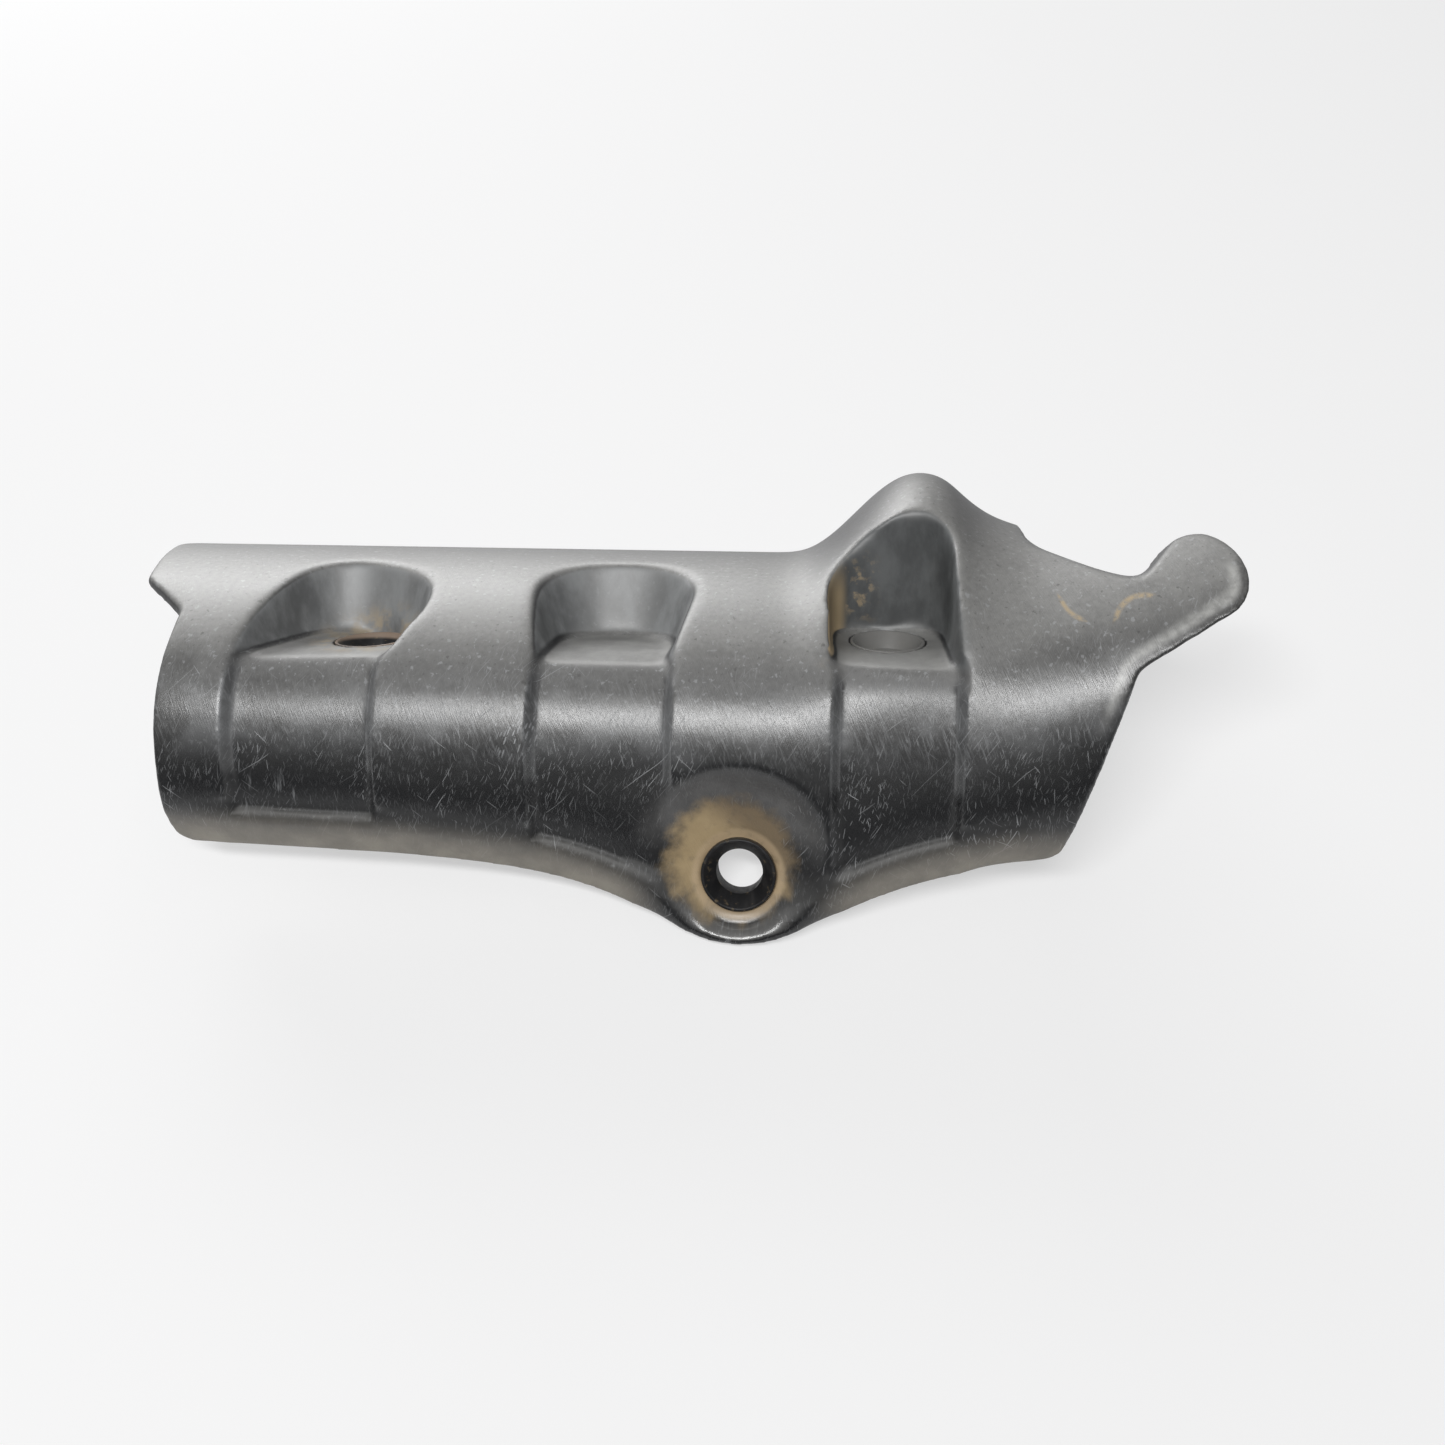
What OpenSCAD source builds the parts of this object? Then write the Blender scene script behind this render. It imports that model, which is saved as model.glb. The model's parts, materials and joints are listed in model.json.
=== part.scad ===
// Bolt-on half-pipe guard for a tubular arm: one moulded shell and three flanged bushes.
// The shell is drawn as it is fitted, with its pocket bolts upright, and then leant on a bench.
// X runs along the guard, Y to the back and Z up. The origin is the middle of the lug bush's bore.

/* [Half-pipe] */
// Wall thickness of the moulding
wall = 3; // [2:0.1:4]
// Depth of the section from its front bulge to its crest
pipe_depth = 57; // [50:0.5:64]
// Height of the crest above the front bulge
pipe_rise = 38; // [34:0.5:44]
// Depth of the section behind its crest
rear_depth = 30; // [26:0.5:40]
// Height of the front bulge above the lug bore
bulge_height = 26.4; // [22:0.2:30]
// How far the front bulge stands ahead of the lug seat
bulge_lead = 7; // [5:0.2:9]
// Distance of the left end from the lug bore
left_end = 124.5; // [116:0.5:140]
// Distance of the right end's foot from the lug bore
right_end = 66; // [62:0.5:72]
// How far the back of the left end reaches past its front
tab_reach = 20; // [16:0.5:24]
// Length of the slope from the front of the left end to its tab
tab_step = 13.5; // [8:0.5:15]
// Depth of that slope
tab_slope = 11.5; // [8:0.5:14]
// Where that slope starts, behind the lug seat
tab_from = 10; // [6:0.5:14]
// Radius of the lower corner of the left end
end_corner = 4; // [2:0.25:6]
// Height of the lower edge above the lug bore, left of the lug
edge_height = 3.4; // [0:0.2:8]
// Height of the lower edge above the lug bore, right of the lug
right_edge_height = 7.4; // [2:0.2:12]
// How far the lower edge curls back behind the bulge
edge_curl = 8; // [5:0.2:10]
// Angle by which the fitted guard leans back on a bench
lean = 43.8; // [38:0.2:48]

/* [Hump] */
// Height of the hump above the crest
hump_rise = 19.2; // [10:0.2:24]
// Distance of the hump's top from the lug bore
hump_at = 37; // [32:0.5:42]
// Length of the hump's left side
hump_left = 29.5; // [24:0.5:34]
// Length of the hump's right side, at half its height
hump_right = 14; // [11:0.5:17]

/* [Wing and ear] */
// Where the section starts to turn into the wing
wing_start = 47; // [44:0.5:52]
// Where the wing has its full form
wing_full = 85; // [80:0.5:90]
// Climb of the bulge along the wing, for each millimetre of length
wing_climb = 0.3; // [0.2:0.01:0.4]
// Depth of the wing's section
wing_depth = 44; // [38:0.5:48]
// Rise of the wing's section
wing_rise = 36; // [32:0.5:40]
// Where the back wall ends, to the right of the hump
back_wall_end = 60; // [56:0.5:62]
// Depth of the wing at the back wall, behind the lug seat
wing_back = 38; // [34:0.5:40]
// Depth of the ear behind the lug seat
ear_back = 18; // [14:0.5:20]
// Height of the wing's free edge above the lug bore, at the back wall
free_edge_height = 68.6; // [66:0.2:70]
// Fall of the free edge from the back wall to the ear
free_edge_fall = 5.4; // [3:0.2:8]
// Length of the right end's sloping edge along X
shoulder_run = 13.5; // [8:0.5:16]
// Height of the shoulder above the lug bore, where the ear starts
shoulder_height = 46.5; // [42:0.5:49]
// Radius of the ear's round end
ear_radius = 7.9; // [7:0.1:9]
// Distance of the ear's end centre from the right end's foot
ear_at = 27; // [24:0.5:32]
// Height of the ear's end centre above the lug bore
ear_height = 64.5; // [62:0.5:66]
// Radius of the hollow corners beside the ear
ear_corner = 3; // [1:0.25:4]

/* [Lug] */
// How far the lug hangs below the lower edge
lug_drop = 17.8; // [15:0.2:20]
// Width of the lug's left side, at half its drop
lug_left = 25.5; // [20:0.5:30]
// Width of the lug's right side, at half its drop
lug_right = 28; // [22:0.5:32]
// How much straighter the lug is than the curled edge
lug_flat = 4; // [2:0.2:6]
// Radius of the flat seat in the lug's dish
seat_radius = 11; // [9.5:0.25:12]
// Radius of the ball that forms the dish
dish_ball = 28.5; // [25:0.5:32]
// Height of the dish's middle above the bore
dish_up = 3.5; // [2:0.25:4.5]

/* [Grooves] */
// Depth of the grooves in the front face
groove_depth = 2.5; // [1.5:0.1:3.5]
// Width of a groove's sloping side
groove_ramp = 1.6; // [1:0.1:3]
// Height of the sloping ledge at a groove's foot
groove_foot = 0.6; // [0.4:0.1:2]
// Height of the plain rim below the grooves
rim_height = 8; // [5:0.2:10]
// Middle of the left groove
left_groove_at = -93; // [-96:0.5:-88]
// Width of the left groove
left_groove_w = 33; // [28:0.5:36]
// Middle of the middle groove
mid_groove_at = -28.8; // [-32:0.2:-26]
// Width of the middle groove
mid_groove_w = 30.5; // [26:0.5:33]
// Middle of the right groove
right_groove_at = 32.6; // [30:0.2:35]
// Width of the right groove
right_groove_w = 26.8; // [24:0.2:29]

/* [Pockets] */
// Height of the left and middle floors above the lug bore, in the plane of its seat
floor_height = 44.2; // [41:0.2:46]
// Slope of the left and middle floors towards the front
floor_slope = 4.5; // [0:0.5:7]
// Turn of the left pocket to the right
left_pocket_turn = 22; // [14:1:24]
// Depth of the left pocket behind the lug seat
left_pocket_back = 28; // [27.5:0.5:30]
// Middle of the middle pocket
mid_pocket_at = -29.2; // [-31:0.2:-28]
// Width of the middle pocket's floor
mid_pocket_w = 27; // [26:0.2:29]
// Depth of the middle pocket behind the lug seat
mid_pocket_back = 29; // [27:0.5:31]
// Height of the right floor above the lug bore, in the plane of its seat
right_floor_height = 45.5; // [43:0.25:47]
// Slope of the right floor towards the front
right_floor_slope = 9; // [5:0.5:11]
// Middle of the right pocket
right_pocket_at = 31.4; // [30:0.2:33]
// Width of the right pocket
right_pocket_w = 25.4; // [24:0.2:27]
// Turn of the right pocket to the left
right_pocket_turn = 4; // [0:0.5:6]
// Depth of the right pocket behind the lug seat
right_pocket_back = 26.8; // [25:0.2:29]
// Lean of the left pocket's back wall and of all the middle pocket's walls
pocket_lean = 17; // [8:0.5:20]
// Lean of the left pocket's side walls
left_side_lean = 10; // [4:0.5:14]
// Corner radius of the left and middle pockets, at their floors
pocket_corner = 12; // [8:0.5:12.5]
// Corner radius of the right pocket
right_pocket_corner = 9; // [6:0.5:11]

/* [Bushes] */
// Bore of the bushes
bush_bore = 10; // [8:0.1:10.4]
// Wall of the bushes' shanks
bush_wall = 1.4; // [1:0.1:2]
// Flange diameter of the bushes
flange_d = 16; // [14.6:0.1:17]
// Flange thickness of the bushes, let into the seat
flange_t = 2; // [1:0.1:2.5]
// Depth of the hollow round the mouth of a bore
bush_sink = 3.2; // [2:0.1:4]
// Width of the flat rim round that hollow
bush_rim = 0.6; // [0.3:0.1:1]
// Length of a bore behind its hollow
bore_length = 5; // [4:0.1:7]
// Distance of the left bush behind the lug seat, along its floor
left_bush_back = 21.4; // [19:0.2:21.6]
// Distance of the right bush behind the lug seat, along its floor
right_bush_back = 18; // [16:0.2:18.2]
// Clearance of a bush in its seat, on the radius
bush_clear = 0.1; // [0.05:0.05:0.3]
// Wall of the bosses behind the seats
boss_wall = 2.5; // [2:0.1:3.5]

/* [Hidden] */
$fn = 64;

// Reach of a cutter past the face that it cuts
past = 12;
// Depth of body that is kept behind the lower edge for the lug's seat
seat_room = 14;
// Spacing of the loft's sections where the shape changes along X
pitch = 3.5;
// Steps of the section: lower curve, front quarter and rear
lower_steps = 6;
groove_steps = 7;
front_steps = 12;
rear_steps = 6;
// Angle over which a groove runs out at its top
groove_run_out = 3;
// End of the rear curve, as an angle past the crest
rear_sweep = 60;
// Corner trimmed off the lug where it meets the bench
rest_trim = 2;

lug_tip = lug_drop - edge_height;
rest_drop = wall * sin(lean) + lug_tip * cos(lean) - rest_trim;
groove_top = max(floor_height, right_floor_height) + 0.6;
groove_list = [
  [left_groove_at, left_groove_w],
  [mid_groove_at, mid_groove_w],
  [right_groove_at, right_groove_w]
];
shank_r = bush_bore / 2 + bush_wall;
bush_length = bush_sink + bore_length;
boss_r = flange_d / 2 + boss_wall;
crest_y = pipe_depth - bulge_lead;
far_left = -left_end - tab_reach - past;
far_right = right_end + ear_at + ear_radius + past;

// Blends that the sections follow along X
function clamp(u) = min(1, max(0, u));
function ease(u) = let (v = clamp(u)) v * v * (3 - 2 * v);
function hump(u) = u < 0 ? pow(cos(90 * clamp(-u / hump_left)), 2) : 1 / (1 + pow(u / hump_right, 2.7));
function wing(x) = ease((x - wing_start) / (wing_full - wing_start));
function lug(x) = 1 / (1 + pow(abs(x) / (x < 0 ? lug_left : lug_right), 2.2));

// Sizes of the section at one place along X
function bulge_z(x) = bulge_height + wing_climb * max(0, x - wing_start);
function depth(x) = pipe_depth + (wing_depth - pipe_depth) * wing(x);
function rise(x) =
  pipe_rise + (wing_rise - pipe_rise) * wing(x) + hump_rise * hump(x - hump_at);
function edge_z(x) =
  edge_height + (right_edge_height - edge_height) * ease(x / right_end) - lug_drop * lug(x);
function curl(x) = edge_curl - lug_flat * lug(x);

// Depth of the grooves at one place along X, ramped at their sides
function groove(x) = groove_depth * max([
  for (g = groove_list) clamp((g[1] / 2 - abs(x - g[0])) / groove_ramp)
]);

// Angle up the front quarter where the grooves end, just above the front of the pocket floors
function groove_end(x) = max(5, asin(clamp((groove_top - bulge_z(x)) / rise(x))));

// Points of a section moved inwards along their normals
function unit(v) = v / norm(v);
function inward(p, n, d) = p - unit(n) * d;
function lower_at(x, z, d) =
  let (h = bulge_z(x) - edge_z(x), u = clamp((z - edge_z(x)) / h))
  let (slope = -3 * curl(x) * pow(1 - u, 2) / h)
  inward([curl(x) * pow(1 - u, 3) - bulge_lead, z], [-1, slope], d);
function front_at(x, a, d) =
  inward([depth(x) * (1 - cos(a)) - bulge_lead, bulge_z(x) + rise(x) * sin(a)],
         [-cos(a) / depth(x), sin(a) / rise(x)], d);
function rear_at(x, a, d) =
  inward([depth(x) + rear_depth * sin(a) - bulge_lead, bulge_z(x) + rise(x) * cos(a)],
         [sin(a) / rear_depth, cos(a) / rise(x)], d);

// One closed section, from the lower edge over the crest to the back and round the open side
function section(x, inset, open) =
  let (g = inset + groove(x))
  let (ez = edge_z(x), rim = ez + rim_height, low = rim + groove_foot)
  let (step = (bulge_z(x) - low) / lower_steps)
  let (start = lower_at(x, ez, inset))
  let (end = groove_end(x), next = end + groove_run_out)
  concat(
    [start + [curl(x) / rim_height, -1] * open],
    [start],
    [lower_at(x, rim, inset)],
    [for (i = [0 : lower_steps]) lower_at(x, low + step * i, g)],
    [for (i = [1 : groove_steps]) front_at(x, end * i / groove_steps, g)],
    [for (i = [0 : front_steps]) front_at(x, next + (90 - next) * i / front_steps, inset)],
    [for (i = [1 : rear_steps]) rear_at(x, rear_sweep * i / rear_steps, inset)],
    [rear_at(x, rear_sweep, inset) + [0, -open]],
    [start + [seat_room + open, -open]]
  );

// Places of the sections: each groove side, and an even spacing where the lug, hump and wing are
function sorted(v) = len(v) < 2 ? v :
  let (m = v[floor(len(v) / 2)])
  concat(sorted([for (e = v) if (e < m) e]), [m], sorted([for (e = v) if (e > m) e]));
groove_sides = [
  for (g = groove_list) for (s = [-1, 1]) for (r = [0, groove_ramp]) g[0] + s * (g[1] / 2 - r)
];
even_places = [for (x = [-2.6 * lug_left : pitch : far_right - pitch]) x];
clear_places = [for (x = even_places) if (min([for (s = groove_sides) abs(x - s)]) > pitch / 3) x];
stations = sorted(concat([far_left], groove_sides, clear_places, [far_right]));

// The solid body, inset by a wall, with its open side and ends carried on by open
module body(inset, open) {
  xs = concat([stations[0] - open], [for (i = [1 : len(stations) - 2]) stations[i]], [far_right + open]);
  rings = [for (x = xs) section(x, inset, open)];
  n = len(rings[0]);
  m = len(xs);
  points = [for (i = [0 : m - 1]) for (p = rings[i]) [xs[i], p[0], p[1]]];
  sides = [for (i = [0 : m - 2]) for (j = [0 : n - 1]) for (half = [0, 1])
    let (a = i * n + j, b = i * n + (j + 1) % n)
    half == 0 ? [a, b, b + n] : [a, b + n, a + n]];
  caps = [[for (j = [0 : n - 1]) n - 1 - j], [for (j = [0 : n - 1]) (m - 1) * n + j]];
  polyhedron(points, concat(sides, caps));
}

// Plan of a pocket: straight sides, two round back corners, open at the front
module pocket_plan(half, deep, r) {
  front = past + bulge_lead;
  translate([-half, -front]) square([2 * half, front + deep - r]);
  translate([r - half, 0]) square([2 * (half - r), deep]);
  for (s = [-1, 1]) translate([s * (half - r), deep - r]) circle(r);
}

// Places on the three pocket floors, with Z along the bolt
module on_floor(at, high, slope, turn) {
  translate([at, 0, high]) rotate([slope, 0, -turn]) children();
}

module on_left_floor() {
  on_floor(left_groove_at, floor_height, floor_slope, left_pocket_turn) children();
}

module on_mid_floor() {
  on_floor(mid_pocket_at, floor_height, floor_slope, 0) children();
}

module on_right_floor() {
  on_floor(right_pocket_at, right_floor_height, right_floor_slope, -right_pocket_turn) children();
}

// How far the foot of a leaning wall moves out when its pocket is grown
function foot_out(tilt, grow) = grow * (1 - sin(tilt)) / cos(tilt);

// A pocket above its floor, grown all round to back it with a wall
module pocket(w, back, corner, side_tilt, back_tilt, grow) {
  high = pipe_rise + hump_rise;
  half = w / 2 + foot_out(side_tilt, grow);
  deep = back + foot_out(back_tilt, grow);
  spread = [1 + high * tan(side_tilt) / half, 1 + high * tan(back_tilt) / deep];
  translate([0, 0, -grow]) linear_extrude(high, scale = spread, slices = 1)
    pocket_plan(half, deep, corner + foot_out(side_tilt, grow));
}

module pockets(grow) {
  left_w = left_groove_w - 2 * groove_ramp;
  on_left_floor() pocket(left_w, left_pocket_back, pocket_corner, left_side_lean, pocket_lean, grow);
  on_mid_floor() pocket(mid_pocket_w, mid_pocket_back, pocket_corner, pocket_lean, pocket_lean, grow);
  on_right_floor() pocket(right_pocket_w, right_pocket_back, right_pocket_corner, 0, 0, grow);
}

// Dish round the lug's seat, hollowed by a ball in front of it
module dish(grow) {
  ball_lead = sqrt(pow(dish_ball, 2) - pow(seat_radius, 2));
  rotate([90, 0, 0]) translate([0, 0, -grow]) cylinder(h = bulge_lead + grow, r = seat_radius + grow);
  translate([0, -ball_lead, dish_up]) sphere(dish_ball + grow);
}

// Places of the three bushes, each with Z along its bolt and its seat face at Z 0
module at_lug() {
  rotate([90, 0, 0]) children();
}

module at_left_pocket() {
  on_left_floor() translate([0, left_bush_back, 0]) children();
}

module at_right_pocket() {
  on_right_floor() translate([0, right_bush_back, 0]) children();
}

module at_each_bush() {
  at_lug() children();
  at_left_pocket() children();
  at_right_pocket() children();
}

// Boss behind a seat, and the stepped hole for a bush
module boss() {
  translate([0, 0, -flange_t - wall]) cylinder(h = flange_t + wall, r = boss_r);
}

module bush_hole() {
  translate([0, 0, -flange_t]) cylinder(h = flange_t + past, r = flange_d / 2 + bush_clear);
  translate([0, 0, -flange_t - wall - past]) cylinder(h = flange_t + wall + past, r = shank_r + bush_clear);
}

// Front view of what is kept at the right: the sloping end, the wing's free edge and the ear
module right_outline() {
  foot = [right_end, edge_z(right_end)];
  shoulder = [right_end + shoulder_run, shoulder_height];
  ear = [right_end + ear_at, ear_height];
  low = unit(ear + [0, -ear_radius] - shoulder);
  offset(-ear_corner) offset(ear_corner) {
    polygon([
      [far_left - past, -2 * far_right],
      [foot[0], -2 * far_right],
      foot,
      shoulder,
      [shoulder[0] + 1, free_edge_height - free_edge_fall],
      [back_wall_end, free_edge_height],
      [back_wall_end, 2 * far_right],
      [far_left - past, 2 * far_right]
    ]);
    polygon([
      shoulder,
      ear + ear_radius * [low[1], -low[0]],
      ear,
      ear + ear_radius * [-sin(45), cos(45)],
      [shoulder[0], ear[1] + ear_radius * cos(45) - (ear[0] - ear_radius * sin(45) - shoulder[0])]
    ]);
    translate(ear) circle(ear_radius);
  }
}

// Everything that is trimmed off the ends, the back and the foot
module trims() {
  big = 4 * far_right;
  rotate([90, 0, 0]) linear_extrude(big, center = true) difference() {
    translate([back_wall_end, -big]) square(2 * big);
    right_outline();
  }
  translate([0, 0, -big]) linear_extrude(2 * big) polygon([
    [back_wall_end, wing_back],
    [right_end + shoulder_run, ear_back],
    [big, ear_back],
    [big, big],
    [back_wall_end, big]
  ]);
  translate([0, 0, -big]) linear_extrude(2 * big) polygon([
    [far_left - 2 * past, -big],
    [-left_end, -big],
    [-left_end, tab_from],
    [-left_end - tab_step, tab_from + tab_slope],
    [-left_end - tab_reach, crest_y],
    [-left_end - tab_reach, big],
    [far_left - 2 * past, big]
  ]);
  translate([-left_end, 0, edge_z(-left_end)]) rotate([90, 0, 0]) linear_extrude(big, center = true)
    difference() {
      translate([-past, -past]) square(past + end_corner);
      translate([end_corner, end_corner]) circle(end_corner);
    }
  rotate([lean, 0, 0]) translate([-big, -big, -rest_drop - 2 * big]) cube(2 * big);
}

// Leans the fitted guard on its bench, about the middle of the lug bush's bore
module on_bench() {
  rotate([-lean, 0, 0]) translate([0, -bush_sink - bore_length / 2, 0]) children();
}

// The moulded shell
module guard_shell() {
  color([0.06, 0.06, 0.065]) on_bench() difference() {
    body(0, 0);
    pockets(0);
    dish(0);
    difference() {
      body(wall, past);
      pockets(wall);
      dish(wall);
      at_each_bush() boss();
    }
    at_each_bush() bush_hole();
    trims();
  }
}

// A flanged bush, let into its seat, with a hollow round the mouth of its bore
module bush() {
  rotate_extrude() polygon([
    [bush_bore / 2, -bush_length],
    [shank_r, -bush_length],
    [shank_r, -flange_t],
    [flange_d / 2, -flange_t],
    [flange_d / 2, 0],
    [flange_d / 2 - bush_rim, 0],
    [bush_bore / 2, -bush_sink]
  ]);
}

module lug_bush() {
  color([0.03, 0.03, 0.03]) on_bench() at_lug() bush();
}

module left_pocket_bush() {
  color([0.03, 0.03, 0.03]) on_bench() at_left_pocket() bush();
}

module right_pocket_bush() {
  color([0.03, 0.03, 0.03]) on_bench() at_right_pocket() bush();
}

guard_shell();
lug_bush();
left_pocket_bush();
right_pocket_bush();
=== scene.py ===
"""Dresses a moulded half-pipe guard, a scuffed plastic shell with three rubber bushes, on a pale floor."""

import json
import math

import bmesh
import bpy
import numpy as np
from mathutils import Matrix, Vector
from mathutils.kdtree import KDTree


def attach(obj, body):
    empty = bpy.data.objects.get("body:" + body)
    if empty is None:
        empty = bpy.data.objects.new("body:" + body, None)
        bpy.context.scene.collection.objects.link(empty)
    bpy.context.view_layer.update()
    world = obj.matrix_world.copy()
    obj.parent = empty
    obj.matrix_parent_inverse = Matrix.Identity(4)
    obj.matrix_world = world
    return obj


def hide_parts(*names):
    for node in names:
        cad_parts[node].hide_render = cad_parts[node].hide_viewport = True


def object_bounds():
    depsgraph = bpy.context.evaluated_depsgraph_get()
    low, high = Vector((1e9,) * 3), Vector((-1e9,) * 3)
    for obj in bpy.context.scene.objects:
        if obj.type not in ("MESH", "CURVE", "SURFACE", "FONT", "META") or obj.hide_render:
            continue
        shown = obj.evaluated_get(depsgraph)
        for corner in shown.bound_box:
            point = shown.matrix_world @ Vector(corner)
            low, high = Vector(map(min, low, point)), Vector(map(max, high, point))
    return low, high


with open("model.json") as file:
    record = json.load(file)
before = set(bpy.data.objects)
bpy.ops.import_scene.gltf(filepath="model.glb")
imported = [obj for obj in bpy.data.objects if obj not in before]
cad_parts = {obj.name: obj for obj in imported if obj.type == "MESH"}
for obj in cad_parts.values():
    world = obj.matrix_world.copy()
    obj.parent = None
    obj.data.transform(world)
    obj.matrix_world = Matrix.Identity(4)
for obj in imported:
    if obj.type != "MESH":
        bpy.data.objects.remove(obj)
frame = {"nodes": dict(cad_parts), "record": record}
CAD_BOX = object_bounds()
MOUNTS = {mount["name"]: mount for mount in frame["record"]["mounts"]}

bl_info = {
    "name": "Half-pipe guard",
    "version": (1, 0, 0),
    "blender": (4, 5, 0),
    "location": "View3D > Sidebar > Guard",
    "description": "Finishes a moulded half-pipe guard and its bushes",
    "category": "Object",
}

MM = 0.001
BODY = "root"

# The guard leans back on its floor by this much from the way it is fitted
LEAN = math.radians(43.8)
# Middle of the lug bush's bore behind the lug's seat
SEAT_TO_BORE = 5.7 * MM

BUSHES = {
    "lug_bush": "lug_bore",
    "left_pocket_bush": "left_pocket_bore",
    "right_pocket_bush": "right_pocket_bore",
}

# Zones of the fitted guard, in millimetres from the lug's seat: along it, to its back and up it. Those that
# are multiplied by MM are in metres. A fade runs from where its mask is 0 to where it is 1. A band has two
# limits and the softness of its ends.
POCKETS_LEFT_FADE = (-118.0, -114.0)
POCKETS_RIGHT_FADE = (47.5, 45.5)
POCKETS_BACK_FADE = (42.0, 39.0)
WALLS_UP_FADE = (44.5, 46.5)
FLOORS_UP_BAND = (43.6, 50.5, 0.6)
LIPS_UP_BAND = (41.0, 47.0, 2.0)
GROOVES_UP_BAND = (21.0, 43.0, 2.0)
GROOVE_CORNERS_UP_FADE = (43.0, 41.0)
RIGHT_POCKET_ALONG_FADE = (5.0, 10.0)
WING_START = 47.0
WING_CLIMB = 0.3
CROWN_FADE = (42.0, 51.0)
BULGE_BAND = (27.0, 40.0, 5.0)

# The ear and the wing's right end, below a line that climbs along the wing
EAR_LINE_CLIMB = 0.7
EAR_LINE_FADE = (0.5, -3.5)
EAR_ALONG_FADE = (64.0, 74.0)
EAR_UP_FADE = (32.0, 46.0)
EAR_GRIME_FADE = (2.4, 1.2)
EAR_SCRAPE_BAND = (2.4, 4.0, 0.9)
LEFT_END_ALONG_BAND = (-112.0, -106.0, 1.5)
LEFT_END_UP_BAND = (26.0, 46.0, 4.0)

GOUGE = (-46.5, 30.8, 0)
GOUGE_FADE = (7.5, 1.5)
DRIPS_ALONG_BAND = (-107.0, -84.0, 2.0)
DRIPS_UP_BAND = (12.0, 19.0, 3.0)

DISH_DUST_MIDDLE = (-1.5, 4.0, 0)
DISH_DUST_FADE = (15.5, 10.5)
DISH_BACK_FADE = (-6.5, -2.0)
DISH_SHADE_FADE = (4.0, 15.0)
BROW_BAND = (13.0, 19.5, 3.0)
BROW_UP_FADE = (5.0, 12.0)
SEAT_BAND = (7.5, 9.9, 0.6)
LUG_LIP_UP_FADE = (-7.0, -10.0)
LUG_LIP_FADE = (19.0, 16.0)
BESIDE_LUG_FADE = (14.0, 28.0)
LEFT_HOLE_FADE = (17 * MM, 10 * MM)
WALL_DUST_ALONG_BAND = (16.0, 20.5, 1.2)
WALL_DUST_UP_FADE = (66.0, 57.0)
BLOTS_ALONG_BAND = (20.0, 27.0, 2.0)
BLOTS_UP_BAND = (53.0, 65.0, 3.0)
# Smears on the wing: middle, radius, aim in degrees and the cosine of how far round it goes
WING_SMEARS = (((69.5, 60.5, 0), 4.8, 228, 0.8), ((81.0, 54.4, 0), 6.2, 123, 0.7))

# Where the mould has large radii
ROUND_POCKETS_UP_FADE = (40.5, 43.5)
ROUND_POCKETS_BACK_FADE = (44.0, 40.0)
CLEAR_OF_BUSH_FADE = (8.4 * MM, 10.5 * MM)
DISH_MIDDLE_UP = 3.5
DISH_RIM_INNER_FADE = (11.5, 13.5)
DISH_RIM_OUTER_FADE = (25.0, 21.0)
DISH_RIM_BACK_FADE = (6.0, 2.0)
DISH_RIM_UP_FADE = (-12.0, -9.0)
TAB_FADE = (-134.0, -141.0)
WING_ALONG_FADE = (46.0, 54.0)
HUMP_ALONG_FADE = (34.0, 40.0)
HUMP_BACK_FADE = (41.0, 46.0)
LEFT_END_FADE = (-112.0, -118.0)
NOTCH_ALONG_FADE = (80.0, 72.0)

# The front, its lower edge between the sloping ends and the feet of its grooves, by height above that edge
FRONT_DEPTH = 12.0
LOWER_EDGE_LEFT = -120.0
LOWER_EDGE_RIGHT = 64.0
LOWER_EDGE_STEP = 2.0
RIM_FADE = (10.5, 1.5)
LEDGE_FOOT_FADE = (5.0, 7.0)
LEDGE_TOP_FADE = (12.5, 10.0)
LEDGE_BACK_FADE = (6.0, 2.0)
LEDGE_RIGHT_FADE = (62.0, 58.0)

# Turns past which an edge of the CAD model is a moulded edge, or one as thin as a knife's
MOULDED_TURN = math.radians(24)
KNIFE_TURN = math.radians(120)
# Distances from such edges
KNIFE_FADE = (6 * MM, 3 * MM)
OPEN_FACE_START = 0.6 * MM
ROUND_EDGE_FADE = (1 * MM, 3 * MM)
LEDGE_CORNER_FADE = (0.9 * MM, 2.2 * MM)
WORN_REACH = 0.6 * MM
NOOK_REACH = 0.7 * MM
WIDEST_BORDER = 10.0

POCKET_BUSHES_UP_FADE = (30.0, 34.0)
LEFT_BUSH_ALONG_FADE = (-40.0, -60.0)
LEFT_BUSH_RIM_FADE = (44.9, 45.7)

# Fades by the way that a face looks, as the cosine of its angle
SKYWARD_FADE = (0.58, 1.0)
WALLS_FACING_FADE = (0.62, 0.45)
FLOORS_FACING_FADE = (0.8, 0.93)
SIDEWAYS_FADE = (0.25, 0.5)
FRONT_FADE = (0.35, -0.5)

# Scratches: turn in degrees, length, spacing and width in millimetres, and the share of them that shows
FINE_SCRATCHES = (
    (-66, 2.2, 0.5, 0.13, 0.5),
    (-78, 3.0, 0.7, 0.15, 0.4),
    (-112, 2.0, 0.8, 0.14, 0.35),
)
DEEP_SCRATCHES = (
    (-60, 7.0, 2.2, 0.17, 0.4),
    (-95, 4.0, 2.0, 0.18, 0.35),
    (-140, 6.0, 4.0, 0.17, 0.3),
    (-40, 16.0, 9.0, 0.18, 0.3),
)
GOUGE_SCRATCHES = (-60, 2.2, 0.55, 0.24, 0.85)

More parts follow.
